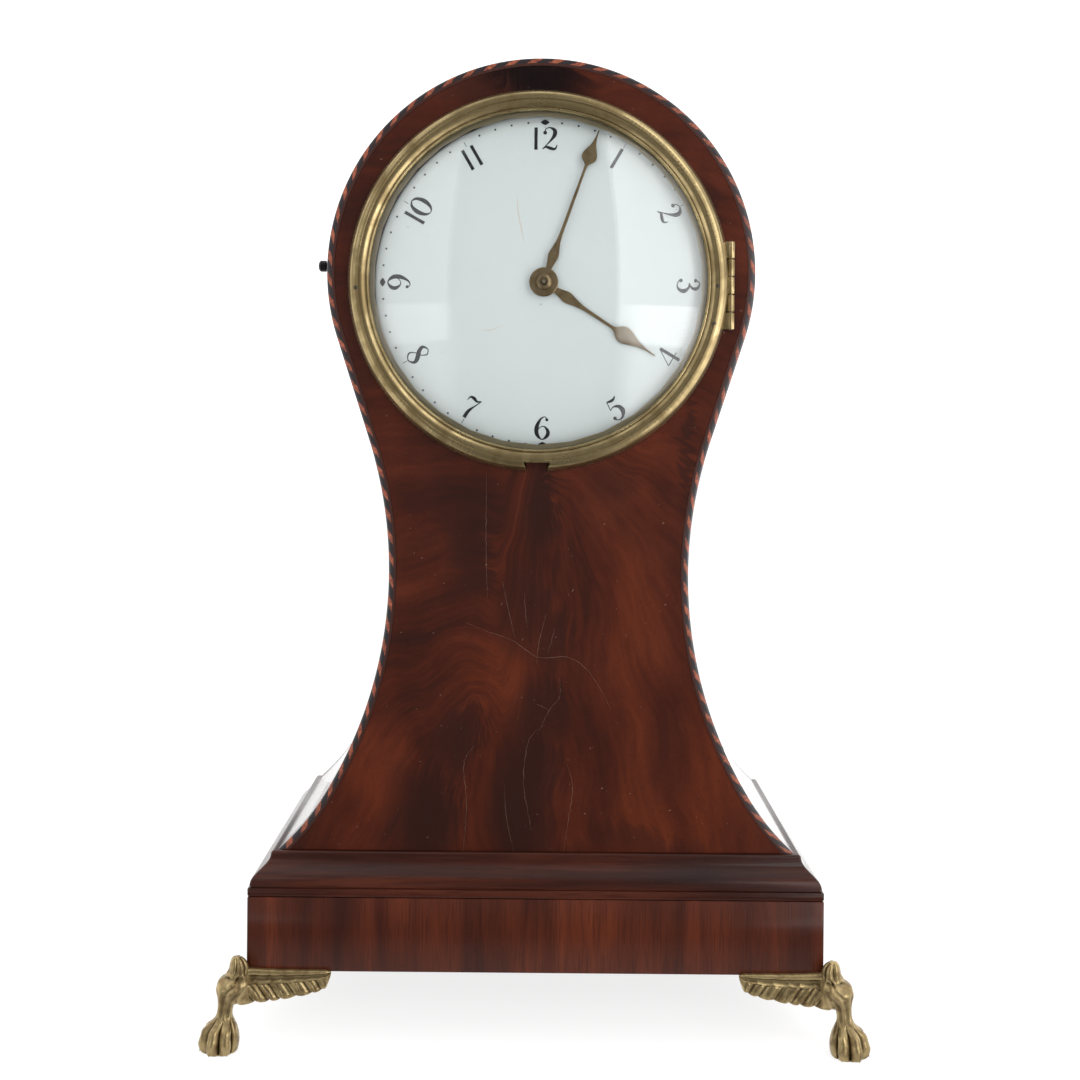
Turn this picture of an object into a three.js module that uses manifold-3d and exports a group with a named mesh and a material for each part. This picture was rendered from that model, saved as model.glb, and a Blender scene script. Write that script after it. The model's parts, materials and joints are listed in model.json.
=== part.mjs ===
// A waisted mantel clock on paw feet, with a hinged brass bezel, a convex enamel dial and a
// spring-driven eight-day movement wound from the rear.
// Millimetres. +Z is up, the dial faces -Y and +X is to the right of the dial. The origin is on the
// table, midway between the four feet.
import * as THREE from 'three';
import { mergeVertices } from 'three/addons/utils/BufferGeometryUtils.js';
import Module from 'manifold-3d';

const wasm = await Module();
wasm.setup();

const TURN = 2 * Math.PI;
const RAD = Math.PI / 180;

// ---------------------------------------------------------------- driving dimensions
const SEAT_GAP = 0.1; // glue line between wooden pieces and under fixed plates
const RUN_GAP = 0.3; // clearance between metal pieces that touch or turn

const BASE = { standOut: 9.95, depth: 124, bottom: 26, blockTop: 54, top: 69, wall: 16, ceiling: 6 };

// The base moulding, as steps back from the block's face and heights above its top.
const MOULDING = { filletSetback: 0.6, filletHeight: 3.6, ogeeSetback: 8, facets: 7 };

// The case's side, from its head down: a round head, a straight shoulder, a hollow waist and a
// flare that ends on the base.
const CASE = {
  headRim: 9.9,
  shoulderAngle: 17.93 * RAD,
  shoulderLength: 41,
  waistRadius: 163.4,
  waistTurn: 31.7 * RAD,
  flareRadius: 89,
  flareEnd: 48.445 * RAD,
  frontSetback: 9.5,
  wall: 6,
  frontBoard: 8,
  backBoard: 8,
};

const STRINGING = { width: 2.9, thickness: 2 };

const DOOR = { width: 84, sill: 31, aboveHead: 60.8, gap: 0.7, thickness: 8 };

const BUTT = { height: 26, knuckle: 2.2, bore: 1.2, leaf: 1.4, width: 9, fromEnd: 34, bodyKnuckle: 9 };

const KNOB = { radius: 7, neck: 3, rose: 1.5, length: 13, fromEdge: 9 };

const DIAL = { centreX: 1, belowHead: 3.9, radius: 64.5, rise: 5.5, thickness: 1.6, hole: 4, setback: 4 };

const DIAL_RING = { inset: 1.5, thickness: 1.2, footRadius: 1.5, footFromTop: 4.7, footFromInner: 3 };

// Widths across the bezel's section are counted out from the dial's edge.
const BEZEL = {
  centreX: -1,
  belowHead: 3.2,
  dialLap: 1.4,
  glassLap: 2.3,
  boardClearance: 3.1,
  flangeLap: 4,
  seat: 0.1,
  flange: 1.3,
  height: 7,
  rebateDepth: 4,
  notchTop: 10,
  notchBottom: 7.3,
  notchDepth: 3.6,
};

const GLASS = { play: 0.5, domePlay: 0.1, rise: 12, thickness: 1.5 };

const RETAINER = { lap: 0.9, play: 0.3, thickness: 1.5, bevel: 0.8 };

const HINGE = {
  beyondBezel: 1.2,
  belowBezel: 18.1,
  length: 33.6,
  knuckles: 5,
  radius: 1.5,
  pin: 0.65,
  bore: 0.95,
  leaf: 1.2,
  depth: 6,
};

const CATCH = {
  aboveBezel: 6,
  insideBezel: 3.3,
  tongue: 1.2,
  tongueHeight: 8,
  reach: 15,
  travel: 1.5,
  swing: 1,
  plate: 1,
  plateHeight: 16,
  jaw: 1.2,
  jawReach: 5,
};

const BUTTON = { behindFront: 12.5, shank: 1.5, head: 2.2, headLength: 2.5, crown: 0.6, crownInset: 0.7 };

const HANDS = { thickness: 0.7, lift: 0.9, spacing: 1, boss: 5.45, leafStart: 5, leafEnd: 11 };
const HOUR_HAND = { length: 50.6, angle: 122.7 * RAD, spade: 19, spadeWidth: 6.4, leafWidth: 4.4, stem: 0.8 };
const MINUTE_HAND = {
  shortOfDial: 2.8,
  angle: 19.4 * RAD,
  spade: 14.5,
  spadeWidth: 5.8,
  leafWidth: 4,
  stem: 0.75,
};
const COLLET = { bore: 1.3, radius: 3.1, crown: 2.7, step: 0.9, height: 1.2, nose: 2.4 };
const PIPES = { cannon: 1.7, hourInner: 2.1, hourOuter: 3, play: 0.2 };

const PLATES = {
  width: 84,
  belowDial: 59.3,
  aboveDial: 52.7,
  thickness: 2.5,
  frontSetback: 10.5,
  gap: 47.5,
  corner: 3,
};

const PILLAR = { inset: 6, radius: 3.2, waist: 2.1, spigot: 1.6 };

const SEAT_BOARD = { thickness: 9, behind: 4 };

const PIVOT = { radius: 0.8, hole: 1.15, arbor: 1.2, sides: 8 };

// Going train, from the barrel to the escape wheel: teeth, pitch per tooth and place.
const TRAIN = {
  barrelTeeth: 64,
  barrelModule: 0.7,
  secondPinion: 8,
  secondTeeth: 48,
  secondModule: 0.75,
  centrePinion: 8,
  centreTeeth: 72,
  centreModule: 0.5,
  thirdPinion: 6,
  thirdTeeth: 64,
  thirdModule: 0.5,
  escapePinion: 6,
  escapeTeeth: 30,
  wheel: 1.4,
  pinionOverhang: 1.2,
  hub: 4,
  escapeHub: 2.8,
  rim: 1.6,
  spoke: 1.5,
  barrelFromFront: 3.5,
  thirdFromFront: 20,
  secondFromBack: 16,
  centreFromBack: 11,
  escapeFromBack: 6.5,
  secondBearing: -60 * RAD,
  barrelBearing: 216 * RAD,
  thirdBearing: 125 * RAD,
};

// Motion work under the dial: both pairs share one centre distance and one module.
const MOTION = {
  cannon: 10,
  minute: 30,
  pinion: 8,
  hour: 32,
  module: 0.6,
  wheel: 1.3,
  offPlate: 1,
  between: 1.2,
  post: 1,
  bearing: -35 * RAD,
};

const BARREL = {
  sides: 28,
  radius: 20.5,
  wall: 1.5,
  depth: 22,
  arbor: 3,
  neck: 2,
  cap: 1.4,
  square: 2.1,
  squareOut: 14,
};

const MAINSPRING = { strip: 0.8, coils: 4, inner: 5, outer: 17.5, height: 16 };

const RATCHET = { radius: 8, tooth: 1.3, teeth: 18, thickness: 1.4 };

// The click's pivot from the barrel's centre, and the blade that presses on it.
const CLICK = { left: 12.5, up: 2.5, eye: 2.4, bore: 1.2, stud: 0.9, noseAt: 50 * RAD, noseWidth: 1.6 };
const CLICK_SPRING = { footWidth: 3.2, footHeight: 5, footDrop: 13.5, blade: 1.3, outside: 5.1, tip: 0.7 };

const ESCAPE = { radius: 11, depth: 2.6, lean: 0.34, padClearance: 0.95, wheel: 1.2, palletDrop: 2.4 };
const ANCHOR = { padAt: 42 * RAD, padWidth: 2.2, heel: 5.5, crown: 3, overhang: 0.6 };
const CRUTCH = { offPlate: 3, thickness: 1.6, width: 2.4, length: 52, foot: 2.6, tine: 1.3, pastRod: 3 };

const PENDULUM = {
  beatLength: 218.4,
  behindPlate: 17.5,
  rod: 1.1,
  bob: 17.5,
  bobThickness: 9,
  travel: 1.5,
  springWidth: 6,
  spring: 0.3,
  springLength: 12,
  chop: 6,
  chopThickness: 3.2,
  thread: 3,
};

const NUT = { radius: 4.4, foot: 4, neck: 2.6, height: 5 };

const COCK = {
  reach: 12,
  thickness: 2.5,
  halfWidth: 19.5,
  low: 2.8,
  high: 7,
  leg: 5,
  stud: 6.5,
  studWidth: 7,
  studPast: 3.5,
};

// Sections of a foot: height, distance out from the base's corner, half-width across and half-width
// outwards.
const PAW_RINGS = {
  sole: { z: 0, out: 11.4, across: 6, deep: 6.2 },
  toes: { z: 2, out: 11.4, across: 7.3, deep: 7.5 },
  knuckles: { z: 7, out: 10.7, across: 7.1, deep: 7.2 },
  instep: { z: 11.4, out: 9.1, across: 4.9, deep: 4.7 },
  ankle: { z: 15.5, out: 7.6, across: 3.3, deep: 3.1 },
  shin: { z: 19, out: 6.5, across: 4.4, deep: 3.5 },
  haunch: { z: 23.5, out: 4.8, across: 7.9, deep: 4.6 },
  shoulder: { z: 28, out: 3.3, across: 5.7, deep: 4.2 },
  crest: { z: 33, out: 2.2, across: 2.2, deep: 2 },
};
const PAW = { toes: 4, toePitch: TURN / 8, toeBulge: 0.09, toeHeight: 10, ringPoints: 16 };

// The spread wing under each edge of the base, from the corner (0) to its tip.
const WING = {
  length: 32,
  proud: 1.7,
  under: 3.4,
  lip: 1.6,
  feathers: 4,
  rootDrop: 12.4,
  tipDrop: 2.2,
  scallop: 1.3,
  rimRise: 1.2,
};

// ---------------------------------------------------------------- derived sizes and planes
const bezelAperture = DIAL.radius - BEZEL.dialLap;
const glassRebate = bezelAperture + BEZEL.glassLap;
const boardAperture = DIAL.radius + BEZEL.boardClearance;
const bezelRadius = boardAperture + BEZEL.flangeLap;
const headRadius = bezelRadius + CASE.headRim;

const baseFront = -BASE.depth / 2;
const baseBack = BASE.depth / 2;
const caseFront = baseFront + CASE.frontSetback;
const caseFoot = BASE.top + SEAT_GAP;
const frontBoardBack = caseFront + CASE.frontBoard;
const backBoardFront = baseBack - CASE.backBoard;
const shellFront = frontBoardBack + SEAT_GAP;
const shellBack = backBoardFront - SEAT_GAP;
const dialRim = caseFront + DIAL.setback;
const frontPlateFront = caseFront + PLATES.frontSetback;
const frontPlateBack = frontPlateFront + PLATES.thickness;
const backPlateFront = frontPlateBack + PLATES.gap;
const backPlateBack = backPlateFront + PLATES.thickness;

// Centres of the arcs in the case's side: heights are worked up from the foot and widths in from
// the head.
function caseCentres() {
  const { shoulderAngle, shoulderLength, waistRadius, waistTurn, flareRadius, flareEnd } = CASE;
  const slack = waistRadius - flareRadius;
  const flareZ = caseFoot + flareRadius * Math.sin(flareEnd);
  const waistZ = flareZ + slack * Math.sin(waistTurn);
  const shoulderZ = waistZ + waistRadius * Math.sin(shoulderAngle);
  const shoulderX = headRadius * Math.cos(shoulderAngle) - shoulderLength * Math.sin(shoulderAngle);
  const waistX = shoulderX + waistRadius * Math.cos(shoulderAngle);
  const flareX = waistX - slack * Math.cos(waistTurn);
  return {
    flare: { x: flareX, z: flareZ },
    waist: { x: waistX, z: waistZ },
    headZ: shoulderZ + shoulderLength * Math.cos(shoulderAngle) + headRadius * Math.sin(shoulderAngle),
    footHalf: flareX - flareRadius * Math.cos(flareEnd),
  };
}
const centres = caseCentres();
const baseHalf = centres.footHalf + BASE.standOut;
const dialZ = centres.headZ - DIAL.belowHead;
const bezelZ = centres.headZ - BEZEL.belowHead;
const platesBottom = dialZ - PLATES.belowDial;
const platesTop = dialZ + PLATES.aboveDial;
const hingeX = BEZEL.centreX + bezelRadius + HINGE.beyondBezel;
const hingeLow = bezelZ - HINGE.belowBezel;
const catchZ = bezelZ + CATCH.aboveBezel;
const tongueX = BEZEL.centreX - bezelRadius + CATCH.insideBezel;
const doorSill = BASE.top + DOOR.sill;
const doorSpring = centres.headZ + DOOR.aboveHead - DOOR.width / 2;

// ---------------------------------------------------------------- materials
const finish = (color, roughness, metalness) =>
  new THREE.MeshStandardMaterial({ color, roughness, metalness });
const MAHOGANY = finish(0x4e2921, 0.32, 0);
const FLAME_VENEER = finish(0x53281a, 0.28, 0);
const CARCASS = finish(0x7a5233, 0.6, 0);
const CHEQUER = finish(0x6a4630, 0.4, 0);
const CAST_BRASS = finish(0x9c8457, 0.4, 1);
const BRASS = finish(0xa08a5a, 0.3, 1);
const STEEL = finish(0x8b8d90, 0.3, 1);
const BLUE_STEEL = finish(0x3a3f4a, 0.3, 1);
const ENAMEL = finish(0xd5dddb, 0.15, 0);
const CLEAR_GLASS = new THREE.MeshStandardMaterial({
  color: 0xdfe6e4,
  roughness: 0.05,
  metalness: 0,
  transparent: true,
  opacity: 0.25,
});

// ---------------------------------------------------------------- solid modelling helpers
// Keeps only positions, merges shared vertices and drops triangles of no area.
function welded(geometry) {
  const bare = new THREE.BufferGeometry();
  bare.setAttribute('position', geometry.getAttribute('position'));
  bare.setIndex(geometry.getIndex());
  const merged = mergeVertices(bare, 1e-4);
  const index = merged.getIndex().array;
  const kept = [];
  for (let i = 0; i < index.length; i += 3) {
    const [a, b, c] = [index[i], index[i + 1], index[i + 2]];
    if (a !== b && b !== c && c !== a) kept.push(a, b, c);
  }
  merged.setIndex(kept);
  return merged;
}

function solidOf(geometry) {
  const g = welded(geometry);
  const vertProperties = new Float32Array(g.getAttribute('position').array);
  const triVerts = new Uint32Array(g.getIndex().array);
  return new wasm.Manifold(new wasm.Mesh({ numProp: 3, vertProperties, triVerts }));
}

function geometryOf(solid) {
  const mesh = solid.getMesh();
  const g = new THREE.BufferGeometry();
  g.setAttribute('position', new THREE.BufferAttribute(new Float32Array(mesh.vertProperties), 3));
  g.setIndex([...mesh.triVerts]);
  return g;
}

const joined = (...parts) => geometryOf(parts.map(solidOf).reduce((a, b) => a.add(b)));
const common = (a, b) => geometryOf(solidOf(a).intersect(solidOf(b)));

function cut(body, ...tools) {
  return geometryOf(tools.map(solidOf).reduce((a, b) => a.subtract(b), solidOf(body)));
}

const point = (x, y) => new THREE.Vector2(x, y);

const polar = (x, y, radius, angle) => point(x + radius * Math.cos(angle), y + radius * Math.sin(angle));

function ringOf(count, radius, x = 0, y = 0) {
  return Array.from({ length: count }, (_, k) => polar(x, y, radius, (k * TURN) / count));
}

function arc(x, y, radius, from, to, steps) {
  return Array.from({ length: steps + 1 }, (_, k) => polar(x, y, radius, from + ((to - from) * k) / steps));
}

function shapeOf(outline, holes = []) {
  const shape = new THREE.Shape(outline);
  shape.holes = holes.map((hole) => new THREE.Path(hole));
  return shape;
}

// Prisms of an outline: across the case (y), upwards (z) and sideways (x).
function prismY(outline, front, back, holes = []) {
  const g = new THREE.ExtrudeGeometry(shapeOf(outline, holes), { depth: back - front, bevelEnabled: false });
  return g.rotateX(Math.PI / 2).translate(0, back, 0);
}

function prismZ(outline, low, high, holes = []) {
  const g = new THREE.ExtrudeGeometry(shapeOf(outline, holes), { depth: high - low, bevelEnabled: false });
  return g.translate(0, 0, low);
}

function prismX(outline, left, right, holes = []) {
  const g = new THREE.ExtrudeGeometry(shapeOf(outline, holes), { depth: right - left, bevelEnabled: false });
  return g.rotateX(Math.PI / 2).rotateZ(Math.PI / 2).translate(left, 0, 0);
}

function box(x0, x1, y0, y1, z0, z1) {
  const g = new THREE.BoxGeometry(x1 - x0, y1 - y0, z1 - z0);
  return g.translate((x0 + x1) / 2, (y0 + y1) / 2, (z0 + z1) / 2);
}

// Round rods along each axis.
function rodY(radius, front, back, x = 0, z = 0, sides = PIVOT.sides) {
  return prismY(ringOf(sides, radius, x, z), front, back);
}

function rodZ(radius, low, high, x = 0, y = 0, sides = 12) {
  return prismZ(ringOf(sides, radius, x, y), low, high);
}

function rodX(radius, left, right, y = 0, z = 0, sides = 12) {
  return prismX(ringOf(sides, radius, y, z), left, right);
}

// A profile of [radius, height] turned about Y, with its faces pointing out whichever way it is listed.
function turnedY(profile, segments) {
  let area = 0;
  profile.forEach(([r, h], i) => {
    const [r2, h2] = profile[(i + 1) % profile.length];
    area += r * h2 - r2 * h;
  });
  const ordered = area > 0 ? profile : [...profile].reverse();
  const closedOnAxis = ordered[0][0] === 0 && ordered[ordered.length - 1][0] === 0;
  const loop = closedOnAxis ? ordered : [...ordered, ordered[0]];
  return new THREE.LatheGeometry(loop.map(([r, h]) => point(r, h)), segments);
}

const turnedZ = (profile, segments) => turnedY(profile, segments).rotateX(Math.PI / 2);

// Rings of points, bottom first, skinned into one closed body with flat ends.
function skinned(rings) {
  const count = rings[0].length;
  const positions = rings.flat().flatMap((p) => [p.x, p.y, p.z]);
  const index = [];
  for (let j = 0; j + 1 < rings.length; j += 1) {
    for (let k = 0; k < count; k += 1) {
      const a = j * count + k;
      const b = j * count + ((k + 1) % count);
      index.push(a, b, b + count, a, b + count, a + count);
    }
  }
  const top = (rings.length - 1) * count;
  for (let k = 1; k + 1 < count; k += 1) {
    index.push(0, k + 1, k);
    index.push(top, top + k, top + k + 1);
  }
  const g = new THREE.BufferGeometry();
  g.setAttribute('position', new THREE.Float32BufferAttribute(positions, 3));
  g.setIndex(index);
  return g;
}

// Reflects a body left to right or front to back and keeps its faces pointing out.
function mirrored(geometry, sx, sy) {
  const g = welded(geometry).scale(sx, sy, 1);
  if (sx * sy > 0) return g;
  const index = [...g.getIndex().array];
  for (let i = 0; i < index.length; i += 3) [index[i], index[i + 1]] = [index[i + 1], index[i]];
  g.setIndex(index);
  return g;
}

// ---------------------------------------------------------------- the object
const clock = new THREE.Group();

function section(x = 0, y = 0, z = 0) {
  const group = new THREE.Group();
  group.position.set(x, y, z);
  clock.add(group);
  return group;
}

function place(group, name, geometry, material, position = [0, 0, 0], turn = 0) {
  const mesh = new THREE.Mesh(welded(geometry), material);
  mesh.name = name;
  mesh.position.set(...position);
  mesh.rotation.y = turn;
  group.add(mesh);
  return mesh;
}

// ---------------------------------------------------------------- case
// Right half of the case outline, from its foot to its crown, moved in by a wall.
// Head and shoulder are tangent, and so are shoulder, waist and flare.
function halfOutline(inset, foot = caseFoot) {
  const { flare, waist, headZ } = centres;
  const t = CASE.shoulderAngle;
  const turn = CASE.waistTurn;
  const flareRadius = CASE.flareRadius + inset;
  const footAngle = Math.asin((flare.z - foot) / flareRadius);
  return [
    ...arc(flare.x, flare.z, flareRadius, Math.PI + footAngle, Math.PI + turn, 3),
    ...arc(waist.x, waist.z, CASE.waistRadius + inset, Math.PI + turn, Math.PI - t, 8).slice(1),
    ...arc(0, headZ, headRadius - inset, -t, Math.PI / 2, 14),
  ];
}

function wholeOutline(inset, foot = caseFoot) {
  const right = halfOutline(inset, foot);
  const left = right.slice(0, -1).reverse().map((p) => point(-p.x, p.y));
  return [...right, ...left];
}

const shellMargin = 20;
const shoulderSplit = centres.headZ - headRadius * Math.sin(CASE.shoulderAngle);

function caseShell() {
  const outer = wholeOutline(0);
  const inner = wholeOutline(CASE.wall, caseFoot - shellMargin);
  return cut(prismY(outer, shellFront, shellBack), prismY(inner, shellFront - 1, shellBack + 1));
}

const buttonY = caseFront + BUTTON.behindFront;

function buildCase() {
  const group = section();
  const hw = baseHalf;
  const rect = (inset) => [
    point(-hw + inset, baseFront + inset),
    point(hw - inset, baseFront + inset),
    point(hw - inset, baseBack - inset),
    point(-hw + inset, baseBack - inset),
  ];
  const blockTop = BASE.blockTop - SEAT_GAP;
  const hollow = prismZ(rect(BASE.wall), BASE.bottom - 1, blockTop - BASE.ceiling);
  place(group, 'base_block', cut(prismZ(rect(0), BASE.bottom, blockTop), hollow), MAHOGANY);
  place(group, 'base_moulding', baseMoulding(hw), MAHOGANY);

  const aperture = ringOf(48, boardAperture, DIAL.centreX, dialZ);
  const bandBack = caseFront + STRINGING.thickness;
  const board = prismY(wholeOutline(0), caseFront, frontBoardBack, [aperture]);
  const rebate = cut(
    prismY(wholeOutline(-1, caseFoot - 1), caseFront - 1, bandBack + SEAT_GAP),
    prismY(wholeOutline(STRINGING.width + SEAT_GAP, caseFoot - 2), caseFront - 2, bandBack + 2),
  );
  const hingeSlot = box(
    hingeX - HINGE.leaf / 2 - SEAT_GAP,
    hingeX + HINGE.leaf / 2 + SEAT_GAP,
    caseFront - 1,
    caseFront + HINGE.depth + SEAT_GAP,
    hingeLow - SEAT_GAP,
    hingeLow + HINGE.length + SEAT_GAP,
  );
  const tongueSlot = box(
    tongueX - CATCH.tongue / 2 - 2 * CATCH.swing,
    DIAL.centreX - boardAperture + 2,
    caseFront - 1,
    frontBoardBack + 1,
    catchZ - CATCH.tongueHeight / 2 - CATCH.swing,
    catchZ + CATCH.tongueHeight / 2 + CATCH.swing,
  );
  place(group, 'front_board', cut(board, rebate, hingeSlot, tongueSlot), FLAME_VENEER);
  const band = cut(
    prismY(wholeOutline(0), caseFront, bandBack),
    prismY(wholeOutline(STRINGING.width, caseFoot - 2), caseFront - 1, bandBack + 1),
  );
  place(group, 'edge_stringing', band, CHEQUER);

  const shell = caseShell();
  const split = shoulderSplit;
  const wide = 2 * baseHalf;
  const arch = common(shell, box(-wide, wide, shellFront - 1, shellBack + 1, split + SEAT_GAP, split + wide));
  const left = -headRadius;
  const bore = rodX(BUTTON.shank + RUN_GAP, left - 2, left + 2 * CASE.wall, buttonY, catchZ);
  place(group, 'head_arch', cut(arch, bore), MAHOGANY);
  for (const [side, from, to] of [['left', -wide, 0], ['right', 0, wide]]) {
    const half = box(from, to, shellFront - 1, shellBack + 1, 0, split);
    place(group, `side_${side}`, common(shell, half), MAHOGANY);
  }

  const seatBack = backPlateBack + SEAT_BOARD.behind;
  const seat = prismY(wholeOutline(CASE.wall + SEAT_GAP), frontPlateFront - 1, seatBack);
  const seatTop = platesBottom - SEAT_GAP;
  const seatSlab = box(-wide, wide, baseFront, baseBack, seatTop - SEAT_BOARD.thickness, seatTop);
  place(group, 'seat_board', common(seat, seatSlab), CARCASS);

  place(group, 'back_board', prismY(wholeOutline(0), backBoardFront, baseBack, [doorOutline(0)]), MAHOGANY);
}

// The moulding climbs from the block in a fillet and an ogee: a round over a hollow.
// Its back stays flush with the block's back.
function baseMoulding(hw) {
  const rise = BASE.top - BASE.blockTop - MOULDING.filletHeight;
  const run = MOULDING.ogeeSetback - MOULDING.filletSetback;
  const levels = [
    { z: BASE.blockTop, inset: 0 },
    { z: BASE.blockTop + MOULDING.filletHeight * 0.6, inset: MOULDING.filletSetback / 4 },
    { z: BASE.blockTop + MOULDING.filletHeight, inset: MOULDING.filletSetback },
  ];
  for (let k = 1; k <= MOULDING.facets; k += 1) {
    const u = k / MOULDING.facets;
    const inset = MOULDING.filletSetback + run * (u - Math.sin(TURN * u) / (2.4 * Math.PI));
    levels.push({ z: BASE.blockTop + MOULDING.filletHeight + rise * u, inset });
  }
  const corner = (x, y, z) => new THREE.Vector3(x, y, z);
  return skinned(levels.map(({ z, inset }) => [
    corner(-hw + inset, baseFront + inset, z),
    corner(hw - inset, baseFront + inset, z),
    corner(hw - inset, baseBack, z),
    corner(-hw + inset, baseBack, z),
  ]));
}

// ---------------------------------------------------------------- paw feet
function pawFoot() {
  const corner = { x: baseHalf, y: baseBack };
  const rings = Object.values(PAW_RINGS).map(({ z, out, across, deep }) =>
    Array.from({ length: PAW.ringPoints }, (_, k) => {
      const a = (k * TURN) / PAW.ringPoints;
      const front = Math.abs(Math.atan2(Math.sin(a), Math.cos(a))) < (PAW.toes / 2) * PAW.toePitch;
      const toed = front && z > 0 && z < PAW.toeHeight;
      const toes = toed ? -PAW.toeBulge * Math.cos((TURN * a) / PAW.toePitch) : 0;
      const u = out + deep * (1 + toes) * Math.cos(a);
      const v = across * (1 + toes) * Math.sin(a);
      return new THREE.Vector3(corner.x + (u - v) * Math.SQRT1_2, corner.y + (u + v) * Math.SQRT1_2, z);
    }));
  const leg = skinned(rings);
  const sideWing = wing().map((p) => point(corner.y - p.x, p.y));
  const rearWing = wing().map((p) => point(corner.x - p.x, p.y));
  const onSide = prismX(sideWing, corner.x - WING.under, corner.x + WING.proud);
  const onRear = prismY(rearWing, corner.y - WING.under, corner.y + WING.proud);
  const block = box(
    -SEAT_GAP - corner.x,
    corner.x + SEAT_GAP,
    -corner.y,
    corner.y + SEAT_GAP,
    BASE.bottom - SEAT_GAP,
    BASE.top,
  );
  return cut(joined(leg, onSide, onRear), block);
}

// Wing outline as distance from the corner and height: a plain upper rim and a scalloped
// lower edge that falls from the tip to the root.
function wing() {
  const top = BASE.bottom + WING.lip;
  const lower = [];
  for (let k = 0; k < WING.feathers; k += 1) {
    const feather = (u) => {
      const fall = WING.tipDrop + (WING.rootDrop - WING.tipDrop) * Math.sqrt(u);
      return point(WING.length * (1 - u), BASE.bottom - fall);
    };
    const start = feather((k + 0.12) / WING.feathers);
    const end = feather((k + 1) / WING.feathers);
    lower.push(start, point(end.x, end.y - WING.scallop / 2), point(end.x - 0.6, end.y + WING.scallop / 2));
  }
  const root = BASE.bottom - WING.rootDrop;
  return [
    point(WING.length - WING.rimRise, top),
    point(WING.length, BASE.bottom - WING.tipDrop / 5),
    ...lower.slice(0, -1),
    point(-1, root),
    point(-1, top + WING.rimRise),
    point(WING.length * 0.2, top + WING.rimRise / 2),
  ];
}

function buildFeet() {
  const group = section();
  const foot = pawFoot();
  for (const [end, sy] of [['front', -1], ['rear', 1]]) {
    for (const [side, sx] of [['left', -1], ['right', 1]]) {
      place(group, `foot_${end}_${side}`, mirrored(foot, sx, sy), CAST_BRASS);
    }
  }
}

// ---------------------------------------------------------------- rear door
// Arched door outline, moved in from its opening by a gap.
function doorOutline(gap) {
  const half = DOOR.width / 2 - gap;
  const low = doorSill + gap;
  return [point(half, low), ...arc(0, doorSpring, half, 0, Math.PI, 16), point(-half, low)];
}

// The door turns about a line at its edge and just proud of the back, so it folds out flat.
const buttX = DOOR.width / 2;
const buttY = baseBack + BUTT.knuckle + RUN_GAP;

function buildDoor() {
  const group = section();
  place(group, 'rear_door', prismY(doorOutline(DOOR.gap), baseBack - DOOR.thickness, baseBack), MAHOGANY);
  const places = { lower: doorSill + BUTT.fromEnd, upper: doorSpring - BUTT.fromEnd };
  const plateFront = baseBack + SEAT_GAP;
  for (const [name, z] of Object.entries(places)) {
    const low = z - BUTT.height / 2;
    const high = z + BUTT.height / 2;
    const innerLow = z - BUTT.bodyKnuckle / 2;
    const innerHigh = z + BUTT.bodyKnuckle / 2;
    const tube = (from, to) => prismZ(ringOf(10, BUTT.knuckle, buttX, buttY), from, to);
    const leaf = (x0, x1) => box(x0, x1, plateFront, plateFront + BUTT.leaf, low, high);
    const reach = BUTT.knuckle + RUN_GAP;
    const gapBox = (from, to) => box(buttX - reach, buttX + reach, plateFront - 1, buttY + 5, from, to);
    const pin = rodZ(BUTT.bore - RUN_GAP, low, high, buttX, buttY, 8);
    const caseLeaf = joined(
      cut(leaf(buttX, buttX + BUTT.width), gapBox(innerLow - RUN_GAP, innerHigh + RUN_GAP)),
      tube(low, innerLow - RUN_GAP / 2),
      tube(innerHigh + RUN_GAP / 2, high),
      pin,
    );
    const ends = [gapBox(low - 1, innerLow + RUN_GAP), gapBox(innerHigh - RUN_GAP, high + 1)];
    const doorLeaf = cut(
      joined(
        cut(leaf(buttX - BUTT.width, buttX), ...ends),
        tube(innerLow + RUN_GAP / 2, innerHigh - RUN_GAP / 2),
      ),
      rodZ(BUTT.bore, low - 1, high + 1, buttX, buttY, 8),
    );
    place(group, `door_hinge_${name}_case_leaf`, caseLeaf, BRASS);
    place(group, `door_hinge_${name}_door_leaf`, doorLeaf, BRASS);
  }
  const knob = turnedY([
    [0, 0],
    [KNOB.neck + KNOB.rose, 0],
    [KNOB.neck + KNOB.rose, KNOB.length * 0.08],
    [KNOB.neck, KNOB.length * 0.14],
    [KNOB.neck, KNOB.length * 0.4],
    [KNOB.radius * 0.85, KNOB.length * 0.6],
    [KNOB.radius, KNOB.length * 0.75],
    [KNOB.radius * 0.85, KNOB.length * 0.92],
    [0, KNOB.length],
  ], 14);
  const knobZ = (doorSill + doorSpring) / 2 + BUTT.fromEnd / 2;
  place(group, 'door_knob', knob, BRASS, [-DOOR.width / 2 + KNOB.fromEdge, baseBack + SEAT_GAP, knobZ]);
}

// ---------------------------------------------------------------- bezel, its hinge and its catch
const bezelBack = caseFront - BEZEL.seat;
const hingeY = bezelBack - HINGE.radius - RUN_GAP;
const knucklePitch = HINGE.length / HINGE.knuckles;

function hingeTube(k, radius, slack) {
  const low = hingeLow + k * knucklePitch;
  return rodZ(radius, low + slack, low + knucklePitch - slack, hingeX, hingeY, 12);
}

const hingeBore = () => rodZ(HINGE.bore, hingeLow - 1, hingeLow + HINGE.length + 1, hingeX, hingeY, 10);

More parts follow.
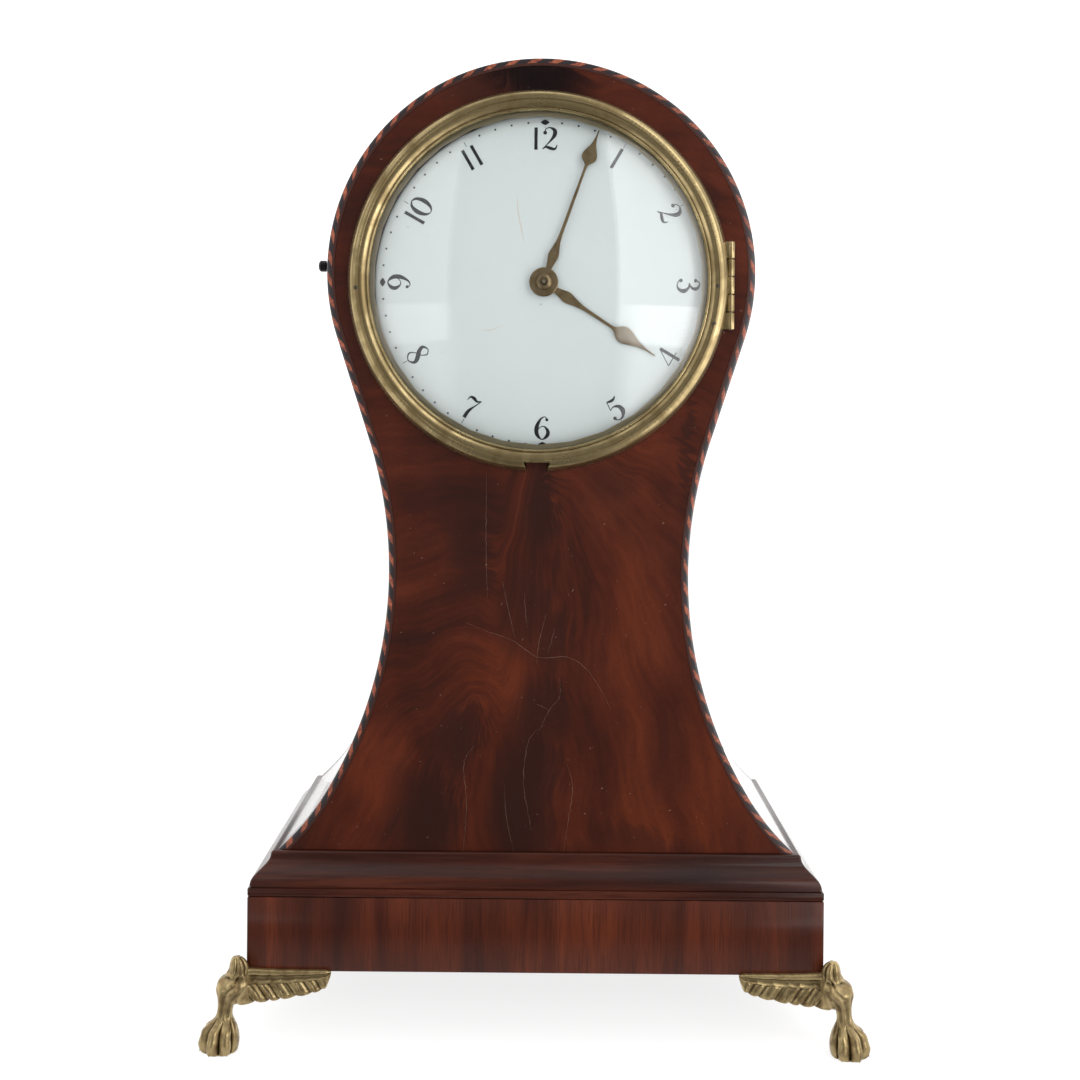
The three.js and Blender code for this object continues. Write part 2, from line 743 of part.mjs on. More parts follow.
function buildBezel() {
  const group = section();
  const at = [BEZEL.centreX, bezelBack, bezelZ];
  const R = bezelRadius;
  const h = BEZEL.height;
  const flange = BEZEL.flange;
  const lipBack = -BEZEL.rebateDepth;
  const ring = turnedY([
    [R, 0],
    [R, -flange],
    [R - 2 * flange, -flange * 1.3],
    [R - 2.3 * flange, -h * 0.78],
    [R - 3 * flange, -h * 0.97],
    [R - 3.8 * flange, -h],
    [R - 4.7 * flange, -h * 0.84],
    [bezelAperture + 0.7 * flange, -h * 0.74],
    [bezelAperture, -h * 0.64],
    [bezelAperture, lipBack],
    [glassRebate, lipBack],
    [glassRebate, 0],
  ], 40).translate(...at);
  const webs = [];
  const knuckles = [];
  for (let k = 0; k < HINGE.knuckles; k += 2) {
    const low = hingeLow + k * knucklePitch + RUN_GAP / 2;
    const high = low + knucklePitch - RUN_GAP;
    const webFrom = BEZEL.centreX + R - 2.7 * flange;
    webs.push(box(webFrom, hingeX, hingeY - HINGE.radius, hingeY + HINGE.radius, low, high));
    knuckles.push(hingeTube(k, HINGE.radius, RUN_GAP / 2));
  }
  const reliefs = [1, 3].map((k) => hingeTube(k, HINGE.radius + RUN_GAP, -RUN_GAP / 2));
  const notchZ = bezelZ - R;
  const notch = prismY([
    point(BEZEL.centreX - BEZEL.notchBottom / 2, notchZ - 1),
    point(BEZEL.centreX + BEZEL.notchBottom / 2, notchZ - 1),
    point(BEZEL.centreX + BEZEL.notchTop / 2, notchZ + BEZEL.notchDepth),
    point(BEZEL.centreX - BEZEL.notchTop / 2, notchZ + BEZEL.notchDepth),
  ], bezelBack - h - 1, bezelBack + 1);
  const body = cut(joined(ring, ...webs, ...knuckles), ...reliefs, hingeBore(), notch);
  place(group, 'bezel_ring', body, CAST_BRASS);

  const rimFront = lipBack + SEAT_GAP;
  const domeRadius = bezelAperture - GLASS.domePlay;
  const sheetRadius = glassRebate - GLASS.play;
  const dome = (r) => GLASS.rise * (1 - (r / domeRadius) ** 2);
  const radii = [1, 0.8, 0.56, 0.28, 0].map((f) => f * domeRadius);
  const outer = radii.map((r) => [r, rimFront - dome(r)]);
  const shrink = 1 - GLASS.thickness / domeRadius;
  const inner = radii.map((r) => [r * shrink, rimFront + GLASS.thickness - dome(r)]);
  const glass = turnedY(
    [...outer.reverse(), [sheetRadius, rimFront], [sheetRadius, rimFront + GLASS.thickness], ...inner],
    32,
  );
  place(group, 'bezel_glass', glass, CLEAR_GLASS, at);

  const ringFront = rimFront + GLASS.thickness + SEAT_GAP;
  const retainer = turnedY([
    [bezelAperture - RETAINER.lap, ringFront],
    [glassRebate - RETAINER.play, ringFront],
    [glassRebate - RETAINER.play, ringFront + RETAINER.thickness],
    [bezelAperture - RETAINER.lap + RETAINER.bevel, ringFront + RETAINER.thickness],
  ], 30);
  place(group, 'glass_retaining_ring', retainer, BRASS, at);

  const t = CATCH.tongue / 2;
  const half = CATCH.tongueHeight / 2;
  const tongue = prismX([
    point(bezelBack + SEAT_GAP, catchZ - half),
    point(bezelBack + CATCH.reach, catchZ - half * 0.55),
    point(bezelBack + CATCH.reach, catchZ + half * 0.55),
    point(bezelBack + SEAT_GAP, catchZ + half),
  ], tongueX - t, tongueX + t);
  const foot = box(
    tongueX - t,
    BEZEL.centreX - Math.sqrt(glassRebate ** 2 - (catchZ + half - bezelZ) ** 2) - RUN_GAP,
    bezelBack + SEAT_GAP,
    bezelBack + SEAT_GAP + 1,
    catchZ - half,
    catchZ + half,
  );
  place(group, 'bezel_catch_tongue', joined(tongue, foot), BRASS);
}

function buildBezelFittings() {
  const group = section();
  const leaf = box(
    hingeX - HINGE.leaf / 2,
    hingeX + HINGE.leaf / 2,
    caseFront + SEAT_GAP,
    caseFront + HINGE.depth,
    hingeLow,
    hingeLow + HINGE.length,
  );
  const parts = [leaf];
  for (let k = 1; k < HINGE.knuckles; k += 2) {
    const low = hingeLow + k * knucklePitch + RUN_GAP / 2;
    const high = low + knucklePitch - RUN_GAP;
    parts.push(hingeTube(k, HINGE.radius, RUN_GAP / 2));
    parts.push(box(hingeX - HINGE.leaf / 2, hingeX + HINGE.leaf / 2, hingeY, caseFront + 1, low, high));
  }
  place(group, 'bezel_hinge_case_leaf', cut(joined(...parts), hingeBore()), BRASS);
  const pin = rodZ(HINGE.pin, hingeLow, hingeLow + HINGE.length, hingeX, hingeY, 10);
  place(group, 'bezel_hinge_pin', pin, STEEL);

  // The button slides in through the wall until its nose almost meets the tongue.
  const wallOuter = -headRadius;
  const noseX = tongueX - CATCH.tongue / 2 - CATCH.swing - CATCH.travel - RUN_GAP;
  const headInner = wallOuter - CATCH.travel - RUN_GAP;
  const headOuter = headInner - BUTTON.headLength;
  const button = joined(
    rodX(BUTTON.shank, headInner - 1, noseX, buttonY, catchZ),
    rodX(BUTTON.head, headOuter, headInner, buttonY, catchZ),
    rodX(BUTTON.head - BUTTON.crownInset, headOuter - BUTTON.crown, headInner - 0.5, buttonY, catchZ),
  );
  place(group, 'catch_button', button, BLUE_STEEL);

  // Sprung jaws either side of the tongue, on one plate screwed behind the front board.
  const plateX0 = tongueX - CATCH.tongue / 2 - 3.5 * CATCH.swing;
  const plateX1 = DIAL.centreX - boardAperture + 3;
  const plateFront = frontBoardBack + SEAT_GAP;
  const jawBack = frontBoardBack + CATCH.jawReach;
  const half = CATCH.tongueHeight / 2;
  const slot = box(
    tongueX - CATCH.tongue / 2 - 1.6 * CATCH.swing,
    plateX1 - CATCH.jaw,
    frontBoardBack - 1,
    jawBack + 1,
    catchZ - half - CATCH.swing,
    catchZ + half + CATCH.swing,
  );
  const plate = box(
    plateX0,
    plateX1,
    plateFront,
    plateFront + CATCH.plate,
    catchZ - CATCH.plateHeight / 2,
    catchZ + CATCH.plateHeight / 2,
  );
  const jaw = box(
    plateX1 - CATCH.jaw,
    plateX1,
    plateFront,
    jawBack,
    catchZ - half,
    catchZ + half,
  );
  place(group, 'catch_spring_plate', joined(cut(plate, slot), jaw), STEEL);
}

// ---------------------------------------------------------------- dial and hands
const dialSag = (r) => DIAL.rise * (1 - (r / DIAL.radius) ** 2);
const dialFaceAt = (r) => dialRim - dialSag(r);

function buildDial() {
  const group = section(DIAL.centreX, 0, dialZ);
  const radii = [DIAL.hole, DIAL.radius * 0.4, DIAL.radius * 0.73, DIAL.radius];
  const face = radii.map((r) => [r, dialFaceAt(r)]);
  const back = [...radii].reverse().map((r) => [r, dialFaceAt(r) + DIAL.thickness]);
  place(group, 'dial_enamel', turnedY([...face, ...back], 32), ENAMEL);

  const ringFront = dialRim + DIAL.thickness + SEAT_GAP;
  const ringBack = ringFront + DIAL_RING.thickness;
  const outer = DIAL.radius - DIAL_RING.inset;
  const inner = dialFootCircle - DIAL_RING.footFromInner;
  const ring = turnedY([
    [inner, ringFront],
    [outer, ringFront],
    [outer, ringBack],
    [inner, ringBack],
  ], 30);
  const footBack = frontPlateBack + DIAL_RING.footRadius;
  const feet = dialFeet().map(([x, z]) => rodY(DIAL_RING.footRadius, ringBack - 0.5, footBack, x, z));
  place(group, 'dial_ring', joined(ring, ...feet), BRASS);
}

// Dial feet, from the dial's centre. The top one sets their circle, so that all go through the plate.
const dialFootCircle = PLATES.aboveDial - DIAL_RING.footFromTop;

function dialFeet() {
  return [90, 225, 315].map((a) => [dialFootCircle * Math.cos(a * RAD), dialFootCircle * Math.sin(a * RAD)]);
}

// A flat hand pointing up: a boss on the pipe, a leaf, a stem and a spade. Its blade is bent back
// to follow the dial's dome, and is given by half-widths at distances from the pivot.
function hand(length, { spade, spadeWidth, leafWidth, stem }, front, hole) {
  const tail = length - spade;
  const blade = [
    [HANDS.boss * 0.8, stem * 1.2],
    [HANDS.boss + HANDS.leafStart * 0.4, stem],
    [HANDS.boss + HANDS.leafStart, leafWidth / 2],
    [HANDS.boss + HANDS.leafEnd, stem],
    [(HANDS.boss + HANDS.leafEnd + tail) / 2, stem * 0.8],
    [tail, stem * 0.8],
    [tail + spade * 0.12, spadeWidth * 0.4],
    [tail + spade * 0.28, spadeWidth / 2],
    [tail + spade * 0.48, spadeWidth * 0.36],
    [tail + spade * 0.66, stem * 0.8],
    [length, stem * 0.3],
  ];
  const rings = blade.map(([z, w]) => {
    const y = front + DIAL.rise * (z / DIAL.radius) ** 2;
    const back = y + HANDS.thickness;
    return [[-w, y], [w, y], [w, back], [-w, back]].map(([px, py]) => new THREE.Vector3(px, py, z));
  });
  const boss = rodY(HANDS.boss, front, front + HANDS.thickness, 0, 0, 18);
  return cut(joined(skinned(rings), boss), rodY(hole, front - 1, front + HANDS.thickness + 1, 0, 0, 12));
}

const hourFront = dialFaceAt(0) - HANDS.lift - HANDS.thickness;
const minuteFront = hourFront - HANDS.spacing - HANDS.thickness;

function buildHands() {
  const group = section(DIAL.centreX, 0, dialZ);
  const hour = hand(HOUR_HAND.length, HOUR_HAND, hourFront, PIPES.hourOuter + PIPES.play);
  place(group, 'hour_hand', hour, BRASS, [0, 0, 0], HOUR_HAND.angle);
  const reach = DIAL.radius - MINUTE_HAND.shortOfDial;
  const minute = hand(reach, MINUTE_HAND, minuteFront, PIVOT.radius + PIPES.play);
  place(group, 'minute_hand', minute, BRASS, [0, 0, 0], MINUTE_HAND.angle);
  const collet = turnedY([
    [COLLET.bore, minuteFront - SEAT_GAP],
    [COLLET.radius, minuteFront - SEAT_GAP],
    [COLLET.crown, minuteFront - COLLET.step],
    [COLLET.bore, minuteFront - COLLET.height],
  ], 14);
  place(group, 'hand_collet', collet, BRASS);
}

// ---------------------------------------------------------------- movement
const bearing = (from, angle, distance) => ({
  x: from.x + distance * Math.cos(angle),
  z: from.z + distance * Math.sin(angle),
});
const pitchRadius = (teeth, module) => (teeth * module) / 2;
const meshDistance = (a, b, module) => pitchRadius(a, module) + pitchRadius(b, module);

const secondDistance = meshDistance(TRAIN.secondTeeth, TRAIN.centrePinion, TRAIN.secondModule);
const barrelDistance = meshDistance(TRAIN.barrelTeeth, TRAIN.secondPinion, TRAIN.barrelModule);
const thirdDistance = meshDistance(TRAIN.centreTeeth, TRAIN.thirdPinion, TRAIN.centreModule);
const escapeDistance = meshDistance(TRAIN.thirdTeeth, TRAIN.escapePinion, TRAIN.thirdModule);
const minuteDistance = meshDistance(MOTION.cannon, MOTION.minute, MOTION.module);

// Places of the arbors. The escape wheel and the pallets stand straight above the centre.
const AT = {};
AT.centre = { x: DIAL.centreX, z: dialZ };
AT.second = bearing(AT.centre, TRAIN.secondBearing, secondDistance);
AT.barrel = bearing(AT.second, TRAIN.barrelBearing, barrelDistance);
AT.third = bearing(AT.centre, TRAIN.thirdBearing, thirdDistance);
const escapeRise = Math.sqrt(escapeDistance ** 2 - (AT.centre.x - AT.third.x) ** 2);
AT.escape = { x: AT.centre.x, z: AT.third.z + escapeRise };
const palletRise = (ESCAPE.radius + ESCAPE.padClearance) * Math.SQRT2 - ESCAPE.palletDrop;
AT.pallets = { x: AT.centre.x, z: AT.escape.z + palletRise };
AT.minute = bearing(AT.centre, MOTION.bearing, minuteDistance);

const angleTo = (from, to) => Math.atan2(to.z - from.z, to.x - from.x);

const WHEEL_TOOTH = { addendum: 1.2, dedendum: 1.3, root: 1 };
const LEAF = { addendum: 0.7, dedendum: 1.6, root: 0.5 };

// Outline of pointed teeth, the first at the angle `aim`. A tooth's root is a share of the pitch,
// and teeth whose roots take the whole pitch meet in one point.
function toothed(teeth, module, form, aim) {
  const pitch = TURN / teeth;
  const tip = pitchRadius(teeth, module) + form.addendum * module;
  const root = pitchRadius(teeth, module) - form.dedendum * module;
  const outline = [];
  for (let k = 0; k < teeth; k += 1) {
    const a = aim + k * pitch;
    if (form.root < 1) outline.push(polar(0, 0, root, a - (form.root * pitch) / 2));
    outline.push(polar(0, 0, tip, a), polar(0, 0, root, a + (form.root * pitch) / 2));
  }
  return outline;
}

// Four windows between hub, rim and spokes.
function crossings(rim, hub, spoke) {
  const windows = [];
  for (let k = 0; k < 4; k += 1) {
    const from = (k * TURN) / 4;
    const outer = Math.asin(spoke / 2 / rim);
    const inner = Math.asin(spoke / 2 / hub);
    windows.push([
      ...arc(0, 0, rim, from + outer, from + TURN / 4 - outer, 3),
      ...arc(0, 0, hub, from + TURN / 4 - inner, from + inner, 1),
    ]);
  }
  return windows;
}

function crossedWheel(outline, root, hub, front, thickness) {
  return prismY(outline, front, front + thickness, crossings(root - TRAIN.rim, hub, TRAIN.spoke));
}

// An arbor between the plates: thick rod, a pinion cut from it, and a thin pivot at each end.
function arbor(pinion, aim, front, back, throughFront = SEAT_GAP, throughBack = SEAT_GAP) {
  const parts = [];
  const start = frontPlateBack + RUN_GAP;
  const end = backPlateFront - RUN_GAP;
  parts.push(rodY(PIVOT.arbor, start, front + 0.5));
  parts.push(rodY(PIVOT.arbor, back - 0.5, end));
  parts.push(prismY(toothed(pinion.teeth, pinion.module, LEAF, aim), front, back));
  parts.push(rodY(PIVOT.radius, frontPlateFront + throughFront, start + 0.5));
  parts.push(rodY(PIVOT.radius, end - 0.5, backPlateBack - throughBack));
  return joined(...parts);
}

// Front faces of the wheels, from the plates.
const PLANE = {
  barrelTeeth: frontPlateBack + TRAIN.barrelFromFront,
  secondWheel: backPlateFront - TRAIN.secondFromBack,
  centreWheel: backPlateFront - TRAIN.centreFromBack,
  thirdWheel: frontPlateBack + TRAIN.thirdFromFront,
  escapeWheel: backPlateFront - TRAIN.escapeFromBack,
};

const facingGap = (from, to, teeth) => angleTo(from, to) + Math.PI / teeth;

function trainWheel(teeth, module, aim, front, hub) {
  const root = pitchRadius(teeth, module) - WHEEL_TOOTH.dedendum * module;
  return crossedWheel(toothed(teeth, module, WHEEL_TOOTH, aim), root, hub, front, TRAIN.wheel);
}

function buildTrain() {
  const group = section();
  const T = TRAIN;
  const spin = (at) => [at.x, 0, at.z];

  const secondArbor = arbor(
    { teeth: T.secondPinion, module: T.barrelModule },
    facingGap(AT.second, AT.barrel, T.secondPinion),
    PLANE.barrelTeeth - T.pinionOverhang,
    PLANE.barrelTeeth + T.wheel + T.pinionOverhang,
  );
  const secondAim = angleTo(AT.second, AT.centre);
  const secondWheel = trainWheel(T.secondTeeth, T.secondModule, secondAim, PLANE.secondWheel, T.hub);
  place(group, 'second_wheel', joined(secondArbor, secondWheel), BRASS, spin(AT.second));

  const centreArbor = arbor(
    { teeth: T.centrePinion, module: T.secondModule },
    facingGap(AT.centre, AT.second, T.centrePinion),
    PLANE.secondWheel - T.pinionOverhang,
    PLANE.secondWheel + T.wheel + T.pinionOverhang,
  );
  const centreAim = angleTo(AT.centre, AT.third);
  const centreWheel = trainWheel(T.centreTeeth, T.centreModule, centreAim, PLANE.centreWheel, T.hub);
  const nose = rodY(PIVOT.radius, minuteFront - COLLET.nose, frontPlateFront + 1);
  place(group, 'centre_wheel', joined(centreArbor, centreWheel, nose), BRASS, spin(AT.centre));

  const thirdArbor = arbor(
    { teeth: T.thirdPinion, module: T.centreModule },
    facingGap(AT.third, AT.centre, T.thirdPinion),
    PLANE.centreWheel - T.pinionOverhang,
    PLANE.centreWheel + T.wheel + T.pinionOverhang,
  );
  const thirdAim = angleTo(AT.third, AT.escape);
  const thirdWheel = trainWheel(T.thirdTeeth, T.thirdModule, thirdAim, PLANE.thirdWheel, T.hub);
  place(group, 'third_wheel', joined(thirdArbor, thirdWheel), BRASS, spin(AT.third));

  const escapeArbor = arbor(
    { teeth: T.escapePinion, module: T.thirdModule },
    facingGap(AT.escape, AT.third, T.escapePinion),
    PLANE.thirdWheel - T.pinionOverhang,
    PLANE.thirdWheel + T.wheel + T.pinionOverhang,
  );
  const escapeRoot = ESCAPE.radius - ESCAPE.depth;
  const escapeRim = [];
  const pitch = TURN / T.escapeTeeth;
  for (let k = 0; k < T.escapeTeeth; k += 1) {
    const a = (k + 0.5) * pitch + Math.PI / 4;
    escapeRim.push(polar(0, 0, escapeRoot, a), polar(0, 0, ESCAPE.radius, a + ESCAPE.lean * pitch));
  }
  const escapeWheel = crossedWheel(escapeRim, escapeRoot, T.escapeHub, PLANE.escapeWheel, ESCAPE.wheel);
  place(group, 'escape_wheel', joined(escapeArbor, escapeWheel), BRASS, spin(AT.escape));
}

function buildBarrel() {
  const group = section(AT.barrel.x, 0, AT.barrel.z);
  const T = TRAIN;
  const drumFront = PLANE.barrelTeeth;
  const drumBack = drumFront + BARREL.depth;
  const wheel = prismY(
    toothed(T.barrelTeeth, T.barrelModule, WHEEL_TOOTH, angleTo(AT.barrel, AT.second)),
    drumFront,
    drumFront + T.wheel,
  );
  const drum = rodY(BARREL.radius, drumFront + 0.1, drumBack, 0, 0, BARREL.sides);
  const hollow = rodY(BARREL.radius - BARREL.wall, drumFront + T.wheel, drumBack + 1, 0, 0, BARREL.sides);
  const eye = rodY(BARREL.arbor + RUN_GAP, drumFront - 1, drumBack, 0, 0, 12);
  place(group, 'barrel', cut(joined(wheel, drum), hollow, eye), BRASS);
  const capFront = drumBack + SEAT_GAP;
  const capHole = ringOf(12, BARREL.arbor + RUN_GAP);
  const cap = prismY(ringOf(BARREL.sides, BARREL.radius), capFront, capFront + BARREL.cap, [capHole]);
  place(group, 'barrel_cap', cap, BRASS);

  const springFront = drumFront + T.wheel + 1;
  const turns = MAINSPRING.coils;
  const steps = turns * 10;
  const growth = (MAINSPRING.outer - MAINSPRING.inner) / turns;
  const spiral = (offset) => Array.from({ length: steps + 1 }, (_, k) => {
    const a = (k / steps) * turns * TURN;
    return polar(0, 0, MAINSPRING.inner + (growth * a) / TURN + offset, a);
  });
  const strip = [...spiral(0), ...spiral(MAINSPRING.strip).reverse()];
  place(group, 'mainspring', prismY(strip, springFront, springFront + MAINSPRING.height), BLUE_STEEL);

  const arborFront = frontPlateBack + RUN_GAP;
  const arborBack = backPlateFront - RUN_GAP;
  const squareEnd = backPlateBack + BARREL.squareOut;
  const ratchetFront = backPlateBack + RUN_GAP;
  const ratchetBack = ratchetFront + RATCHET.thickness;
  const winding = joined(
    rodY(BARREL.neck, frontPlateFront + SEAT_GAP, arborFront + 0.5),
    rodY(BARREL.arbor, arborFront, arborBack, 0, 0, 12),
    rodY(BARREL.neck, arborBack - 0.5, ratchetBack + 0.5),
    box(-BARREL.square, BARREL.square, ratchetBack, squareEnd, -BARREL.square, BARREL.square),
  );
  place(group, 'winding_arbor', winding, STEEL);
  const pitch = TURN / RATCHET.teeth;
  const saw = [];
  for (let k = 0; k < RATCHET.teeth; k += 1) {
    const a = k * pitch;
    saw.push(polar(0, 0, RATCHET.radius - RATCHET.tooth, a), polar(0, 0, RATCHET.radius, a + pitch * 0.12));
  }
  const ratchet = prismY(saw, ratchetFront, ratchetBack, [ringOf(PIVOT.sides, BARREL.neck + SEAT_GAP)]);
  place(group, 'ratchet_wheel', ratchet, STEEL);
}

// Click and its spring, on the outside of the back plate beside the ratchet wheel.
function buildClick() {
  const group = section(AT.barrel.x, 0, AT.barrel.z);
  const front = backPlateBack + RUN_GAP;
  const back = front + RATCHET.thickness;
  const { eye } = CLICK;
  const clear = RATCHET.radius + RUN_GAP;
  const nose = point(CLICK.left - clear * Math.cos(CLICK.noseAt), clear * Math.sin(CLICK.noseAt) - CLICK.up);
  const body = joined(
    prismY(ringOf(12, eye), front, back),
    prismY([
      point(-eye * 0.5, eye * 0.7),
      point(eye * 0.9, eye * 0.1),
      nose,
      point(nose.x - CLICK.noseWidth, nose.y + CLICK.noseWidth * 0.6),
    ], front, back),
  );
  const click = cut(body, rodY(CLICK.bore, front - 1, back + 1));
  place(group, 'click', click, STEEL, [-CLICK.left, 0, CLICK.up]);

  // The blade stands on a foot left of the click, rises past it and leans over its nose.
  const S = CLICK_SPRING;
  const x0 = -CLICK.left - S.outside;
  const bladeTop = CLICK.up + S.outside;
  const blade = [
    point(x0, CLICK.up - S.footDrop),
    point(x0 + S.footWidth, CLICK.up - S.footDrop),
    point(x0 + S.footWidth, CLICK.up - S.footDrop + S.footHeight),
    point(x0 + S.blade, CLICK.up - S.footDrop + S.footHeight + 1),
    point(x0 + S.blade, bladeTop),
    point(x0 + S.blade + S.tip, bladeTop + S.tip),
    point(x0 + S.blade + 8 * S.tip, bladeTop - S.blade),
    point(x0 + S.blade + 8 * S.tip, bladeTop - S.blade + S.tip),
    point(x0 + S.blade + S.tip / 2, bladeTop + S.blade),
    point(x0, bladeTop + S.tip / 2),
  ];
  place(group, 'click_spring', prismY(blade, front, back), STEEL);
}

function buildMotionWork() {
  const group = section();
  const M = MOTION;
  const minutePlane = frontPlateFront - M.offPlate - M.wheel;
  const hourPlane = minutePlane - M.between - M.wheel;
  const centre = [AT.centre.x, 0, AT.centre.z];
  const teeth = (count, form, aim, front, back) => prismY(toothed(count, M.module, form, aim), front, back);
  const cannonAim = facingGap(AT.centre, AT.minute, M.cannon);
  const cannonBack = frontPlateFront - RUN_GAP;
  const cannon = cut(
    joined(
      teeth(M.cannon, LEAF, cannonAim, minutePlane - M.wheel / 2, cannonBack),
      rodY(PIPES.cannon, minuteFront + HANDS.thickness + SEAT_GAP, cannonBack, 0, 0, 12),
    ),
    rodY(PIVOT.radius + PIPES.play, minuteFront - 1, frontPlateFront + 1, 0, 0, 10),
  );
  place(group, 'cannon_pinion', cannon, BRASS, centre);

  const pinionAim = facingGap(AT.minute, AT.centre, M.pinion);
  const minuteWheel = cut(
    joined(
      teeth(M.minute, WHEEL_TOOTH, angleTo(AT.minute, AT.centre), minutePlane, minutePlane + M.wheel),
      teeth(M.pinion, LEAF, pinionAim, hourPlane - M.wheel / 2, minutePlane + M.wheel / 2),
    ),
    rodY(M.post + RUN_GAP, hourPlane - 2, frontPlateFront, 0, 0, 10),
  );
  place(group, 'minute_wheel', minuteWheel, BRASS, [AT.minute.x, 0, AT.minute.z]);

  const hourWheel = cut(
    joined(
      teeth(M.hour, WHEEL_TOOTH, angleTo(AT.centre, AT.minute), hourPlane, hourPlane + M.wheel),
      rodY(PIPES.hourOuter, hourFront, hourPlane + 0.5, 0, 0, 16),
    ),
    rodY(PIPES.hourInner, hourFront - 1, hourPlane + M.wheel + 1, 0, 0, 14),
  );
  place(group, 'hour_wheel', hourWheel, BRASS, centre);
  return { post: M.post, postFront: hourPlane - 0.4 };
}

// ---------------------------------------------------------------- plates and pillars
function pillarPlaces() {
  const half = PLATES.width / 2 - PILLAR.inset;
  const low = platesBottom + PILLAR.inset;
  const high = platesTop - PILLAR.inset;
  return {
    lower_left: { x: DIAL.centreX - half, z: low },
    lower_right: { x: DIAL.centreX + half, z: low },
    upper_left: { x: DIAL.centreX - half, z: high },
    upper_right: { x: DIAL.centreX + half, z: high },
  };
}

function plateOutline() {
  const c = PLATES.corner;
  const x0 = DIAL.centreX - PLATES.width / 2;
  const x1 = DIAL.centreX + PLATES.width / 2;
  return [
    point(x0, platesBottom),
    point(x1, platesBottom),
    point(x1, platesTop - c),
    point(x1 - c, platesTop),
    point(x0 + c, platesTop),
    point(x0, platesTop - c),
  ];
}

function buildPlates(motion) {
  const group = section();
  const hole = (at, r = PIVOT.hole) => ringOf(PIVOT.sides, r, at.x, at.z);
  const shared = [
    hole(AT.second),
    hole(AT.centre),
    hole(AT.third),
    hole(AT.escape),
    hole(AT.barrel, BARREL.neck + RUN_GAP),
    ...Object.values(pillarPlaces()).map((at) => hole(at, PILLAR.spigot + RUN_GAP)),
  ];
  const footHole = DIAL_RING.footRadius + RUN_GAP;
  const feetHoles = dialFeet().map(([x, z]) => hole({ x: x + DIAL.centreX, z: z + dialZ }, footHole));
  const frontHoles = [...shared, hole(AT.pallets), ...feetHoles];
  const front = prismY(plateOutline(), frontPlateFront, frontPlateBack, frontHoles);
  const post = rodY(motion.post, motion.postFront, frontPlateFront + 0.5, AT.minute.x, AT.minute.z);
  place(group, 'front_plate', joined(front, post), BRASS);
  const backHoles = [...shared, hole(AT.pallets, PIVOT.arbor * 2.5)];
  const back = prismY(plateOutline(), backPlateFront, backPlateBack, backHoles);
  const stud = rodY(
    CLICK.stud,
    backPlateBack - 0.5,
    backPlateBack + RUN_GAP + RATCHET.thickness + SEAT_GAP,
    AT.barrel.x - CLICK.left,
    AT.barrel.z + CLICK.up,
  );
  place(group, 'back_plate', joined(back, stud), BRASS);

  const half = PLATES.gap / 2 - SEAT_GAP;
  const full = half + PLATES.thickness;
  const profile = [
    [0, -full],
    [PILLAR.spigot, -full],
    [PILLAR.spigot, -half],
    [PILLAR.radius, -half],
    [PILLAR.waist, -half * 0.5],
    [PILLAR.radius, 0],
  ];
  const other = profile.slice(0, -1).reverse().map(([r, y]) => [r, -y]);
  const middle = frontPlateBack + PLATES.gap / 2;
  for (const [name, at] of Object.entries(pillarPlaces())) {
    const pillar = turnedY([...profile, ...other], PIVOT.sides);
    place(group, `pillar_${name}`, pillar, BRASS, [at.x, middle, at.z]);
  }
}

// ---------------------------------------------------------------- escapement and pendulum
const pendulumY = backPlateBack + PENDULUM.behindPlate;
const cockFront = backPlateBack + COCK.reach;
const cockBack = cockFront + COCK.thickness;

function buildPallets() {
  const group = section(AT.pallets.x, 0, AT.pallets.z);
  const reach = ESCAPE.radius + ESCAPE.padClearance;
  const drop = AT.escape.z - AT.pallets.z;
  const A = ANCHOR;
  const C = CRUTCH;
  const padX = reach * Math.sin(A.padAt);
  const padZ = drop + reach * Math.cos(A.padAt);
  const half = [
    point(padX, padZ),
    point(padX + A.padWidth, padZ + A.padWidth * 0.2),
    point(padX + A.padWidth * 0.55, padZ + A.heel),
    point(padX * 0.5, A.crown),
  ];
  const inner = [point(A.padWidth, -A.padWidth * 1.2), point(padX - A.padWidth * 0.55, padZ + A.heel * 0.62)];
  const outline = [
    ...half,
    ...[...half].reverse().map((p) => point(-p.x, p.y)),
    ...[...inner].reverse().map((p) => point(-p.x, p.y)),
    ...inner,
  ];
  const anchorFront = PLANE.escapeWheel - A.overhang;
  const anchor = prismY(outline, anchorFront, anchorFront + ESCAPE.wheel + 2 * A.overhang);
  const arborStart = frontPlateBack + RUN_GAP;
  const crutchFront = backPlateBack + C.offPlate;
  const crutchBack = crutchFront + C.thickness;
  const forkTop = -C.length;
  const forkLow = forkTop - C.foot;
  const forkBack = pendulumY + C.pastRod;
  const slot = PENDULUM.rod + RUN_GAP;
  const stemHalf = C.width / 2;
  const pallets = joined(
    rodY(PIVOT.radius, frontPlateFront + SEAT_GAP, arborStart + 0.5),
    rodY(PIVOT.arbor + 0.3, arborStart, crutchBack),
    rodY(PIVOT.radius, crutchBack - 0.5, cockBack - 0.6),
    anchor,
    box(-stemHalf, stemHalf, crutchFront, crutchBack, forkTop, 0.5),
    box(-slot - C.tine, slot + C.tine, crutchFront, crutchBack, forkLow, forkTop + 0.2),
    box(-slot - C.tine, -slot, crutchFront, forkBack, forkLow, forkTop),
    box(slot, slot + C.tine, crutchFront, forkBack, forkLow, forkTop),
  );
  place(group, 'pallets_and_crutch', pallets, STEEL);
}

